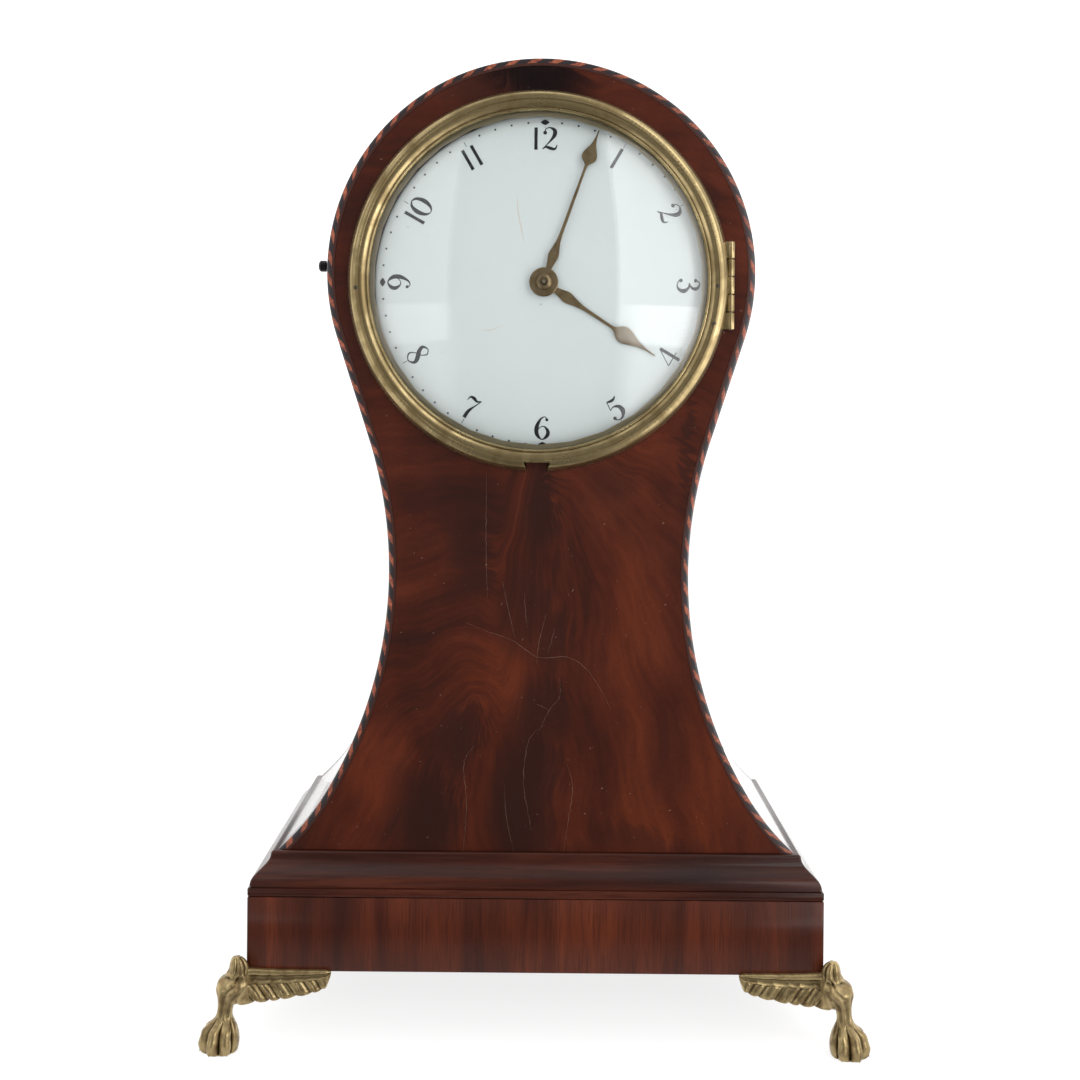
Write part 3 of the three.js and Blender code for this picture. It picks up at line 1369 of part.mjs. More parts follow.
function buildBackCock() {
  const group = section(AT.pallets.x, 0, AT.pallets.z);
  const w = COCK.halfWidth;
  const bar = prismY([
    point(-w, -COCK.low),
    point(w, -COCK.low),
    point(w, COCK.high),
    point(-w, COCK.high),
  ], cockFront, cockBack, [ringOf(PIVOT.sides, PIVOT.hole)]);
  const leg = (x0, x1) => box(x0, x1, backPlateBack + SEAT_GAP, cockFront + 0.5, -COCK.low, COCK.high);
  const studHalf = COCK.studWidth / 2;
  const stud = box(-studHalf, studHalf, cockBack - 0.5, pendulumY + COCK.studPast, RUN_GAP, COCK.stud);
  place(group, 'back_cock', joined(bar, leg(-w, -w + COCK.leg), leg(w - COCK.leg, w), stud), BRASS);
}

function buildPendulum() {
  const group = section(AT.pallets.x, pendulumY, AT.pallets.z);
  const P = PENDULUM;
  const bladeLow = -P.springLength;
  const chopLow = bladeLow - P.chop;
  const spring = joined(
    box(-P.springWidth / 2, P.springWidth / 2, -P.spring / 2, P.spring / 2, bladeLow - 1, 0),
    box(-P.springWidth / 2, P.springWidth / 2, -P.chopThickness / 2, P.chopThickness / 2, chopLow, bladeLow),
  );
  place(group, 'suspension_spring', spring, STEEL);
  const nutTop = -P.beatLength - P.bob - RUN_GAP;
  const rod = rodZ(P.rod, nutTop - NUT.height - P.travel - P.thread, chopLow - SEAT_GAP);
  place(group, 'pendulum_rod', rod, STEEL);
  const bulge = P.bobThickness / 2;
  const lens = turnedY([
    [0, -bulge],
    [P.bob * 0.5, -bulge * 0.84],
    [P.bob * 0.85, -bulge * 0.46],
    [P.bob, -0.7],
    [P.bob, 0.7],
    [P.bob * 0.85, bulge * 0.46],
    [P.bob * 0.5, bulge * 0.84],
    [0, bulge],
  ], 24);
  const bore = rodZ(P.rod + RUN_GAP, -P.bob - 2, P.bob + 2);
  place(group, 'pendulum_bob', cut(lens, bore), BRASS, [0, 0, -P.beatLength]);
  const nut = cut(
    turnedZ([
      [0, 0],
      [NUT.foot, 0],
      [NUT.radius, NUT.radius - NUT.foot],
      [NUT.radius, NUT.height * 0.5],
      [NUT.neck, NUT.height * 0.75],
      [NUT.neck, NUT.height],
      [0, NUT.height],
    ], 12),
    rodZ(P.rod + RUN_GAP * 0.8, -1, NUT.height + 1, 0, 0, 12),
  );
  place(group, 'rating_nut', nut, BRASS, [0, 0, nutTop - NUT.height]);
}

buildCase();
buildFeet();
buildDoor();
buildBezel();
buildBezelFittings();
buildDial();
buildHands();
buildPlates(buildMotionWork());
buildTrain();
buildBarrel();
buildClick();
buildPallets();
buildBackCock();
buildPendulum();

export default clock;
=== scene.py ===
"""Finishes and fine surfaces of a waisted mahogany mantel clock with a brass bezel and paw feet."""

import json
import logging
import math
from dataclasses import dataclass
from enum import Enum
from typing import Callable, Sequence

import bpy
import numpy as np
from mathutils import Euler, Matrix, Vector
from mathutils.geometry import tessellate_polygon

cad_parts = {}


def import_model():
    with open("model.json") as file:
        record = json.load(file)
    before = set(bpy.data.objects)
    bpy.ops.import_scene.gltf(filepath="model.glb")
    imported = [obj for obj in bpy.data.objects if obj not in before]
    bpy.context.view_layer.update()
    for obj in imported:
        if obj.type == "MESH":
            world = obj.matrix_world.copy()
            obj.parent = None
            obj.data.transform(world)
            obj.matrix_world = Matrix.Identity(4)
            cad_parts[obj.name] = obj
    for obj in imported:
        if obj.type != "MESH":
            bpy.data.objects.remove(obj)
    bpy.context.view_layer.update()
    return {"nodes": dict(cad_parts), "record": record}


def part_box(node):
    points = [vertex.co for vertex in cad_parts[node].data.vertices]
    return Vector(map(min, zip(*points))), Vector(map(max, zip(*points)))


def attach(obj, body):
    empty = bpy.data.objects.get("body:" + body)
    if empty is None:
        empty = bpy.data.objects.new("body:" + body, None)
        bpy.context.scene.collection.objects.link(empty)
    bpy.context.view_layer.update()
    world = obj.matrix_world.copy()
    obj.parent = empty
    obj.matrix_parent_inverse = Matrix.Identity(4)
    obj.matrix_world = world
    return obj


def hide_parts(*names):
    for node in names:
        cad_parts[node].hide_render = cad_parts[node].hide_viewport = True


LOG = logging.getLogger("mantel_clock")
MM = 0.001
TURN = 2 * math.pi

Loop = np.ndarray
Place = tuple[float, float]
Colour = tuple[float, float, float, float]


def tone(red: int, green: int, blue: int) -> Colour:
    """Linear colour, with full alpha, of one that is given as it shows on a screen, 0 to 255."""
    levels = np.array((red, green, blue)) / 255
    linear = np.where(levels <= 0.04045, levels / 12.92, ((levels + 0.055) / 1.055) ** 2.4)
    return (*linear.tolist(), 1.0)


def grey(level: float) -> Colour:
    """A colour without a hue."""
    return (level, level, level, 1.0)


class Body(Enum):
    """The rigid bodies that the pieces ride on."""

    CASE = "case"
    BEZEL = "bezel"
    DOOR = "door"
    BUTTON = "button"
    CENTRE = "centre"
    HOUR = "motion_hour"


class Slot(Enum):
    """The material slots of the part's record."""

    MAHOGANY = "mahogany"
    VENEER = "flame_veneer"
    CHEQUER = "chequer"
    CAST_BRASS = "cast_brass"
    BRASS = "brass"
    BLUED_STEEL = "blued_steel"
    ENAMEL = "enamel"
    GLASS = "glass"


class Grain(Enum):
    """The way that a board's grain runs, as the stretch of its pattern along X, Y and Z."""

    UPRIGHT = (1.0, 1.0, 0.07)
    ALONG = (0.07, 1.0, 1.0)


# ---------------------------------------------------------------- shader graphs
class Term:
    """An output socket that takes part in arithmetic. Each step adds a Math node to its graph."""

    def __init__(self, graph: "Graph", socket: bpy.types.NodeSocket) -> None:
        """Keeps the socket with the graph that it belongs to."""
        self.graph, self.socket = graph, socket

    def __add__(self, other: object) -> "Term":
        """The sum."""
        return self.graph.math("ADD", self, other)

    def __sub__(self, other: object) -> "Term":
        """The difference."""
        return self.graph.math("SUBTRACT", self, other)

    def __rsub__(self, other: object) -> "Term":
        """A number less this."""
        return self.graph.math("SUBTRACT", other, self)

    def __mul__(self, other: object) -> "Term":
        """The product."""
        return self.graph.math("MULTIPLY", self, other)

    def __truediv__(self, other: object) -> "Term":
        """The quotient."""
        return self.graph.math("DIVIDE", self, other)

    def __pow__(self, other: float) -> "Term":
        """The power."""
        return self.graph.math("POWER", self, other)

    def __abs__(self) -> "Term":
        """The size without its sign."""
        return self.graph.math("ABSOLUTE", self)


class Graph:
    """A shader node tree, written as a chain of calls that give terms."""

    def __init__(self, tree: bpy.types.NodeTree) -> None:
        """Empties the tree and takes the places on the object from it."""
        self.tree = tree
        tree.nodes.clear()
        self.coordinates = self.node("TexCoord").outputs
        self.place = Term(self, self.coordinates["Object"])

    def node(self, kind: str, **settings: object) -> bpy.types.Node:
        """Adds a shader node of this kind with these settings."""
        made = self.tree.nodes.new("ShaderNode" + kind)
        for key, value in settings.items():
            setattr(made, key, value)
        return made

    def feed(self, socket: bpy.types.NodeSocket, value: object) -> None:
        """Links a term to the socket, or else writes the plain value on it."""
        if isinstance(value, Term):
            self.tree.links.new(value.socket, socket)
        else:
            socket.default_value = value

    def step(self, made: bpy.types.Node, *values: object) -> Term:
        """Feeds a node's first inputs in order and gives its first output."""
        for socket, value in zip(made.inputs, values):
            self.feed(socket, value)
        return Term(self, made.outputs[0])

    def math(self, operation: str, *values: object) -> Term:
        """One step of arithmetic on terms or numbers."""
        return self.step(self.node("Math", operation=operation), *values)

    def split(self, vector: Term) -> list[Term]:
        """The X, Y and Z of a vector."""
        made = self.node("SeparateXYZ")
        self.feed(made.inputs[0], vector)
        return [Term(self, socket) for socket in made.outputs]

    def join(self, x: object, y: object, z: object) -> Term:
        """A vector of three terms or numbers."""
        return self.step(self.node("CombineXYZ"), x, y, z)

    def stretch(self, vector: Term, scale: Sequence[float]) -> Term:
        """The vector scaled along each axis."""
        made = self.node("Mapping")
        made.inputs["Scale"].default_value = list(scale)
        return self.step(made, vector)

    def noise(
        self, vector: Term, scale: float, detail: float = 4.0, distortion: float = 0.0
    ) -> Term:
        """Smooth noise about 0.5, with this many features to the metre."""
        made = self.node("TexNoise")
        for key, value in (
            ("Vector", vector), ("Scale", scale), ("Detail", detail), ("Distortion", distortion)
        ):
            self.feed(made.inputs[key], value)
        return Term(self, made.outputs["Fac"])

    def ramp(self, factor: Term, *stops: tuple[float, Colour]) -> Term:
        """A colour from stops of place and colour."""
        made = self.node("ValToRGB")
        elements = made.color_ramp.elements
        for _ in stops[2:]:
            elements.new(1.0)
        for element, (place, colour) in zip(elements, stops):
            element.position, element.color = place, colour
        return self.step(made, factor)

    def window(
        self, value: object, low: float, high: float, start: float = 0.0, end: float = 1.0
    ) -> Term:
        """The start below low, the end above high, and a smooth way between them."""
        return self.step(
            self.node("MapRange", interpolation_type="SMOOTHSTEP"), value, low, high, start, end
        )

    def spot(self, x: Term, z: Term, at: Place, half: Place) -> Term:
        """A soft oval patch that is 1 at its middle and 0 at its edge.

        Args:
            x, z: The place, in metres.
            at: The patch's middle, in millimetres.
            half: Its half-width and half-height, in millimetres.
        """
        across = (x - at[0] * MM) / (half[0] * MM)
        up = (z - at[1] * MM) / (half[1] * MM)
        return self.window(1.0 - (across**2.0 + up**2.0), 0.0, 1.0)

    def blend(self, factor: object, first: object, second: object) -> Term:
        """Colour two laid over colour one by the factor."""
        made = self.node("Mix", data_type="RGBA", blend_type="MIX")
        for socket, value in ((0, factor), (6, first), (7, second)):
            self.feed(made.inputs[socket], value)
        return Term(self, made.outputs[2])

    def bump(self, height: Term, depth: float, strength: float = 1.0) -> Term:
        """A normal from a height between 0 and 1, at a depth in millimetres."""
        made = self.node("Bump")
        self.feed(made.inputs["Height"], height)
        made.inputs["Distance"].default_value = depth * MM
        made.inputs["Strength"].default_value = strength
        return Term(self, made.outputs[0])

    def shader(self, kind: str, **inputs: object) -> Term:
        """A shader with these inputs, named with _ for a space, each a term or a plain value."""
        made = self.node(kind)
        for key, value in inputs.items():
            self.feed(made.inputs[key.replace("_", " ")], value)
        return Term(self, made.outputs[0])

    def mix(self, factor: object, first: Term, second: Term) -> Term:
        """Shader two in place of shader one by the factor."""
        return self.step(self.node("MixShader"), factor, first, second)

    def principled(self, colour: object, roughness: object, normal: Term, **inputs: float) -> None:
        """Closes the graph with one principled shader; the other inputs are the same all over."""
        self.close(self.shader(
            "BsdfPrincipled", Base_Color=colour, Roughness=roughness, Normal=normal, **inputs
        ))

    def close(self, shader: Term, output: str = "OutputMaterial") -> None:
        """Links the shader to the tree's output."""
        self.feed(self.node(output).inputs["Surface"], shader)


# ---------------------------------------------------------------- finishes
class Finish:
    """A finish with a name, whose paint method closes a graph."""

    name: str

    def paint(self, g: Graph) -> None:
        """Fills the graph."""
        raise NotImplementedError

    def material(self) -> bpy.types.Material:
        """A new material of this finish."""
        made = bpy.data.materials.new(self.name)
        made.use_nodes = True
        self.paint(Graph(made.node_tree))
        return made


@dataclass(frozen=True)
class Wood(Finish):
    """Polished or plain wood with streaks, a mottle and open pores."""

    name: str
    dark: Colour
    middle: Colour
    light: Colour
    grain: Grain
    roughness: float = 0.2
    polish: float = 0.12
    sheen: float = 0.25
    streak_scale: float = 150.0
    pore_scale: float = 1500.0
    mottle_scale: float = 28.0

    def paint(self, g: Graph) -> None:
        """Streaks are noise drawn out along the grain, the mottle is wide noise, and pores are
        fine noise drawn out further, which darken the colour and sink a little."""
        grain = np.array(self.grain.value)
        drawn = g.stretch(g.place, grain)
        streak = g.noise(drawn, self.streak_scale, 6.0, 0.6)
        mottle = g.noise(g.stretch(g.place, 0.4 + 0.6 * grain), self.mottle_scale)
        mixed = streak * 0.62 + mottle * 0.38
        base = g.ramp(mixed, (0.36, self.dark), (0.5, self.middle), (0.66, self.light))
        pores = g.noise(g.stretch(drawn, 0.5 + 0.5 * grain), self.pore_scale, 2.0)
        pored = g.window(pores, 0.36, 0.5)
        g.principled(
            g.blend(0.45 - pored * 0.45, base, self.dark),
            g.noise(g.place, 60.0) * 0.08 + self.roughness,
            g.bump(pored, 0.03, 0.35),
            Specular_IOR_Level=self.sheen,
            Coat_Weight=self.polish,
            Coat_Roughness=0.06,
        )


@dataclass(frozen=True)
class FlameVeneer(Finish):
    """Crotch mahogany: strands that spring from a dark column and fall outwards like a fountain.

    A blaze or shade is an oval's middle, its half-sizes in millimetres, and its strength."""

    name: str = "flame_mahogany"
    dark: Colour = tone(38, 19, 15)
    deep: Colour = tone(48, 20, 13)
    middle: Colour = tone(61, 24, 13)
    light: Colour = tone(80, 33, 16)
    dust: Colour = tone(150, 120, 104)
    # Painted shade: a darker patch at the head's top that stands in for the dimmer reflection the
    # polish shows there.
    burnt: Colour = tone(16, 9, 10)
    burnt_place: tuple[Place, Place] = ((-2.0, 364.0), (26.0, 13.0))
    right_spring: Place = (2.0, 206.0)
    left_spring: Place = (-27.0, 124.0)
    parting: Place = (-16.0, 4.0)

    BLAZES = (
        ((-57.0, 100.0), (16.0, 22.0), 0.09),
        ((-12.0, 130.0), (10.0, 26.0), 0.04),
        ((36.0, 150.0), (10.0, 46.0), 0.045),
        ((52.0, 100.0), (26.0, 34.0), 0.03),
    )
    SHADES = (
        ((0.7, 201.0), (9.0, 24.0), 0.95),
        ((-26.0, 180.0), (12.0, 27.0), 0.75),
        ((-5.0, 160.0), (14.0, 24.0), 0.6),
        ((7.0, 147.0), (10.0, 18.0), 0.7),
        ((4.0, 121.0), (13.0, 20.0), 0.8),
        ((-3.0, 93.0), (15.0, 42.0), 0.9),
        ((-31.0, 112.0), (11.0, 18.0), 0.75),
        ((-43.0, 85.0), (20.0, 26.0), 0.9),
        ((29.0, 212.0), (14.0, 12.0), 0.5),
        ((57.0, 216.0), (3.0, 44.0), 0.7),
        ((64.0, 300.0), (4.0, 40.0), 0.4),
        ((-26.0, 362.0), (26.0, 11.0), 0.6),
        ((-70.0, 262.0), (10.0, 34.0), 0.5),
        ((30.0, 72.0), (44.0, 7.0), 0.4),
    )

    def strand(self, g: Graph, x: Term, z: Term, spring: Place) -> tuple[Term, Term]:
        """The strand's number and the way along it.

        Both are parabolic coordinates about the spring: with r the distance from it and h the
        height over it, they are the roots of r + h and r - h, in millimetres."""
        across, height = x - spring[0] * MM, z - spring[1] * MM
        reach = g.math("SQRT", across**2.0 + height**2.0)
        over = g.math("MAXIMUM", (reach + height) / MM, 0.0)
        under = g.math("MAXIMUM", (reach - height) / MM, 0.0)
        return g.math("SQRT", over), g.math("SQRT", under)

    def paint(self, g: Graph) -> None:
        """Noise drawn out along the strands, with clouds, dark patches and a warmer right side."""
        x, _, z = g.split(g.place)
        bent_x = x + (g.noise(g.place, 24.0, 2.0) - 0.5) * (17.0 * MM)
        lift = g.noise(g.stretch(g.place, (1.0, 1.0, 0.7)), 31.0, 2.0)
        bent_z = z + (lift - 0.5) * (22.0 * MM)
        side = g.window(bent_x, self.parting[0] * MM, self.parting[1] * MM)
        left = self.strand(g, bent_x, bent_z, self.left_spring)
        right = self.strand(g, bent_x, bent_z, self.right_spring)
        number, along = (a * (1.0 - side) + b * side for a, b in zip(left, right))
        drawn = g.join(number, along * 0.12, 0.0)
        wide = g.noise(drawn, 0.85, 3.0)
        fine = g.noise(drawn, 5.5, 4.0)
        cloud = g.noise(g.stretch(g.place, (1.0, 1.0, 0.6)), 24.0, 4.0)
        warm = g.window(x, 0.0, 40.0 * MM)
        figure = warm * 0.045 + wide * 0.36 + fine * 0.2 + cloud * 0.44
        for at, half, share in self.BLAZES:
            figure = figure + g.spot(bent_x, bent_z, at, half) * share
        stops = zip((0.36, 0.44, 0.53, 0.66), (self.dark, self.deep, self.middle, self.light))
        base = g.ramp(figure, *stops)
        torn = (fine - 0.5) * (18.0 * MM)
        torn_x, torn_z = bent_x + torn, bent_z + torn
        shade: object = 0.0
        for at, half, depth in self.SHADES:
            shade = g.math("MAXIMUM", shade, g.spot(torn_x, torn_z, at, half) * depth)
        colour = g.blend(shade, base, self.dark)
        # Painted shade: the head's top is darkened here, standing in for its dimmer reflection.
        colour = g.blend(g.spot(torn_x, torn_z, *self.burnt_place), colour, self.burnt)
        pored = g.window(g.noise(g.join(number, along * 0.2, 0.0), 34.0, 2.0), 0.3, 0.5)
        colour = g.blend(0.3 - pored * 0.3, colour, self.dark)
        dusty = g.window(g.noise(g.place, 620.0, 2.0), 0.74, 0.8)
        g.principled(
            g.blend(dusty * 0.35, colour, self.dust),
            g.noise(g.place, 45.0) * 0.08 + 0.2,
            g.bump(pored, 0.015, 0.25),
            Specular_IOR_Level=0.22,
            Coat_Weight=0.12,
            Coat_Roughness=0.06,
        )


@dataclass(frozen=True)
class Chequer(Finish):
    """Stringing of dyed and plain strips, cut on the slant, inside a plain border. It reads the
    band's own UV map, which holds millimetres along the band and across it."""

    name: str = "chequered_stringing"
    black: Colour = tone(34, 29, 32)
    tan: Colour = tone(146, 76, 48)
    dull: Colour = tone(104, 50, 34)
    border: Colour = tone(50, 24, 18)
    period: float = 8.4
    slant: float = -1.9
    width: float = 1.85

    def paint(self, g: Graph) -> None:
        """The strip is pale where (along + slant * across) / period has a remainder near a half,
        and the border starts at the strip's width."""
        along, across, _ = g.split(Term(g, g.coordinates["UV"]))
        ragged = g.noise(g.place, 700.0, 2.0) * 1.4
        share = g.math("FRACT", (along + ragged + across * self.slant) / self.period)
        mask = g.window(abs(share - 0.5), 0.27, 0.32)
        grime = g.window(g.noise(g.place, 900.0, 4.0), 0.32, 0.62)
        colour = g.blend(mask, self.black, g.blend(grime, self.tan, self.dull))
        beyond = g.window(across, self.width - 0.12, self.width + 0.12)
        colour = g.blend(beyond, colour, self.border)
        g.principled(colour, 0.34, g.bump(mask, 0.03, 0.4), Coat_Weight=0.3, Coat_Roughness=0.15)


@dataclass(frozen=True)
class Metal(Finish):
    """Worn metal: bright where it is rubbed, darker where tarnish gathers in patches."""

    name: str
    bright: Colour
    tarnish: Colour
    roughness: float
    patch_scale: float = 120.0
    pit_depth: float = 0.02
    pit_scale: float = 900.0
    hollow: float = 0.0
    metallic: float = 1.0
    grime: Colour = tone(52, 42, 26)

    def paint(self, g: Graph) -> None:
        """Tarnish follows wide noise and, on a casting, the hollows that Pointiness shows."""
        patch = g.window(g.noise(g.place, self.patch_scale, 5.0, 0.4), 0.38, 0.66)
        speck = g.noise(g.place, self.pit_scale, 3.0)
        colour = g.blend(patch * 0.75, self.bright, self.tarnish)
        if self.hollow:
            pointed = Term(g, g.node("NewGeometry").outputs["Pointiness"])
            hollow = 1.0 - g.window(pointed, 0.44, 0.53)
            colour = g.blend(hollow * self.hollow, colour, self.grime)
        pits = g.bump(speck, self.pit_depth, 0.6)
        g.principled(colour, patch * 0.14 + self.roughness, pits, Metallic=self.metallic)


@dataclass(frozen=True)
class Enamel(Finish):
    """Fired white enamel, a little blue-green, with faint specks."""

    name: str = "white_enamel"
    white: Colour = tone(210, 216, 216)
    cloud: Colour = tone(200, 208, 207)
    speck: Colour = tone(150, 146, 138)

    def paint(self, g: Graph) -> None:
        """A faint cloud and rare specks over the white."""
        base = g.blend(g.noise(g.place, 18.0), self.white, self.cloud)
        fleck = g.window(g.noise(g.place, 420.0, 1.0), 0.76, 0.82)
        colour = g.blend(fleck * 0.4, base, self.speck)
        wave = g.bump(g.noise(g.place, 90.0, 1.0), 0.02, 0.3)
        g.principled(colour, 0.16, wave, Coat_Weight=0.3, Coat_Roughness=0.05)


@dataclass(frozen=True)
class Glass(Finish):
    """Thin clear glass. What it lets through isn't bent, and a lamp shines through it."""

    name: str = "domed_glass"
    mirror: float = 0.042
    clear: Colour = (0.935, 0.94, 0.94, 1.0)

    def paint(self, g: Graph) -> None:
        """Clear and mirror shaders mixed by how steeply the surface is seen."""
        facing = Term(g, g.node("LayerWeight").outputs["Facing"])
        share = facing**4.0 * 0.75 + self.mirror
        clear = g.shader("BsdfTransparent", Color=self.clear)
        g.close(g.mix(share, clear, g.shader("BsdfGlossy", Roughness=0.05)))


@dataclass(frozen=True)
class Paint(Finish):
    """A thin plain coat, a little worn: the numerals' black, or the dust in a crack."""

    name: str
    colour: Colour
    worn: Colour
    roughness: float = 0.4

    def paint(self, g: Graph) -> None:
        """Two tones mixed by fine noise."""
        worn = g.window(g.noise(g.place, 1300.0, 3.0), 0.5, 0.75)
        colour = g.blend(worn, self.colour, self.worn)
        g.close(g.shader("BsdfPrincipled", Base_Color=colour, Roughness=self.roughness))


@dataclass(frozen=True)
class PaleFloor(Finish):
    """A pale floor: near white to the eye, and to polish bright behind the clock and at the sides
    but dark in front of it."""

    name: str = "pale_floor"
    plain: float = 0.85
    shaded: float = 0.34
    glow: float = 0.78

    def paint(self, g: Graph) -> None:
        """What polish mirrors is the larger of a level behind the clock and one far to the side."""
        paths = g.node("LightPath").outputs
        camera, through = Term(g, paths["Is Camera Ray"]), Term(g, paths["Is Transmission Ray"])
        plain = g.shader("BsdfDiffuse", Color=grey(self.plain))
        shaded = g.shader("BsdfDiffuse", Color=grey(self.shaded))
        lit = g.step(g.node("AddShader"), shaded, g.shader("Emission", Strength=self.glow))
        seen = g.mix(g.math("MAXIMUM", camera, through), plain, lit)
        x, y, _ = g.split(g.place)
        aside = abs(x) / g.math("MAXIMUM", y * -1.0, 0.05)
        far = g.math("SQRT", x**2.0 + y**2.0)
        side_level = g.window(x, -0.1, 0.1) * 1.5 + 1.1
        front = g.window(aside, 0.4, 0.6) * g.window(far, 0.28, 0.4) * side_level + 0.04
        behind = g.window(y, -0.2, 0.05) * 1.5
        mirrored = g.shader("Emission", Strength=g.math("MAXIMUM", front, behind))
        g.close(g.mix(Term(g, paths["Is Glossy Ray"]), seen, mirrored))


UPRIGHT, ALONG = Grain.UPRIGHT, Grain.ALONG
POLISHED = (tone(40, 20, 16), tone(66, 29, 18), tone(90, 40, 22))
FRIEZE = (tone(46, 20, 14), tone(68, 29, 16), tone(90, 40, 21))
MOULDING = (tone(32, 13, 10), tone(50, 21, 13), tone(72, 33, 20))
OAK = (tone(84, 54, 32), tone(122, 82, 51), tone(150, 106, 70))
FINISHES = {
    "veneer": FlameVeneer(),
    "side": Wood("mahogany_side", *POLISHED, UPRIGHT, roughness=0.14, polish=0.3, sheen=0.4),
    "back": Wood("mahogany_back", *POLISHED, UPRIGHT, roughness=0.34),
    "frieze": Wood("mahogany_frieze", *FRIEZE, UPRIGHT, streak_scale=90.0),
    "moulding": Wood("mahogany_moulding", *MOULDING, ALONG),
    "carcass": Wood("oak_carcass", *OAK, ALONG, roughness=0.6, polish=0.0),
    "stringing": Chequer(),
    "casting": Metal(
        "cast_brass", tone(186, 164, 118), tone(116, 94, 62), 0.3, 260.0, 0.05, 1400.0,
        hollow=0.95, metallic=0.85,
    ),
    "bezel": Metal(
        "turned_brass", tone(184, 164, 120), tone(122, 103, 68), 0.27, 90.0, 0.015, 1600.0,
        hollow=0.45, metallic=0.9,
    ),
    "works": Metal("works_brass", tone(208, 178, 112), tone(168, 138, 78), 0.22, 60.0, 0.006),
    "hand": Metal(
        "hand_brass", tone(150, 130, 98), tone(106, 88, 60), 0.34, 200.0, 0.01, metallic=0.8
    ),
    "steel": Metal("bright_steel", tone(176, 178, 182), tone(112, 112, 116), 0.24, 90.0, 0.008),
    "blued": Metal("dark_steel", tone(70, 66, 68), tone(44, 40, 42), 0.34, 200.0, 0.01),
    "enamel": Enamel(),
    "glass": Glass(),
    "black": Paint("numeral_black", tone(24, 26, 30), tone(54, 56, 60)),
    "hairline": Paint("hairline_rust", tone(196, 172, 146), tone(206, 196, 182)),
    "crack": Paint("crack_dust", tone(104, 82, 70), tone(58, 40, 36), 0.6),
    "shadow": Paint("rivet_dark", tone(52, 42, 28), tone(30, 24, 18), 0.5),
    "floor": PaleFloor(),
}
MADE: dict[str, bpy.types.Material] = {}


def dressed(key: str) -> bpy.types.Material:
    """The material of a named finish, made once."""
    if key not in MADE:
        MADE[key] = FINISHES[key].material()
    return MADE[key]


# ---------------------------------------------------------------- meshes
def arc(x: float, z: float, radius: float, start: float, end: float, steps: int) -> Loop:
    """Points of a round stretch about (x, z), both ends included."""
    angles = np.linspace(start, end, steps + 1)
    return np.column_stack((x + radius * np.cos(angles), z + radius * np.sin(angles)))


def upright(outline: Loop, y: float | np.ndarray) -> Loop:
    """An outline of x and z, set at a depth y."""
    return np.column_stack((outline[:, 0], np.broadcast_to(y, len(outline)), outline[:, 1]))


def level(outline: Loop, z: float) -> Loop:
    """An outline of x and y, set at a height z."""
    return np.column_stack((outline, np.full(len(outline), z)))


def smooth_line(points: Sequence[Sequence[float]], steps: int, closed: bool = False) -> np.ndarray:
    """A smooth line through points: between two of them each coordinate is the cubic whose slope at
    a point is half the way from the point before to the point after.

    Args:
        points: The points, each with as many numbers as it needs.
        steps: Samples between two points.
        closed: True where the last point leads to the first.

    Returns:
        The samples, one row each.
    """
    p = np.asarray(points, float)
    if closed:
        p = np.vstack((p[-1], p, p[:2]))
    else:
        p = np.vstack((2 * p[0] - p[1], p, 2 * p[-1] - p[-2]))
    t = (np.arange(steps) / steps)[None, :, None]
    a, b, c, d = (p[k : len(p) - 3 + k][:, None, :] for k in range(4))
    curve = b + 0.5 * t * (c - a + t * (2 * a - 5 * b + 4 * c - d + t * (3 * (b - c) + d - a)))
    line = curve.reshape(-1, p.shape[1])
    return line if closed else np.vstack((line, p[-2]))


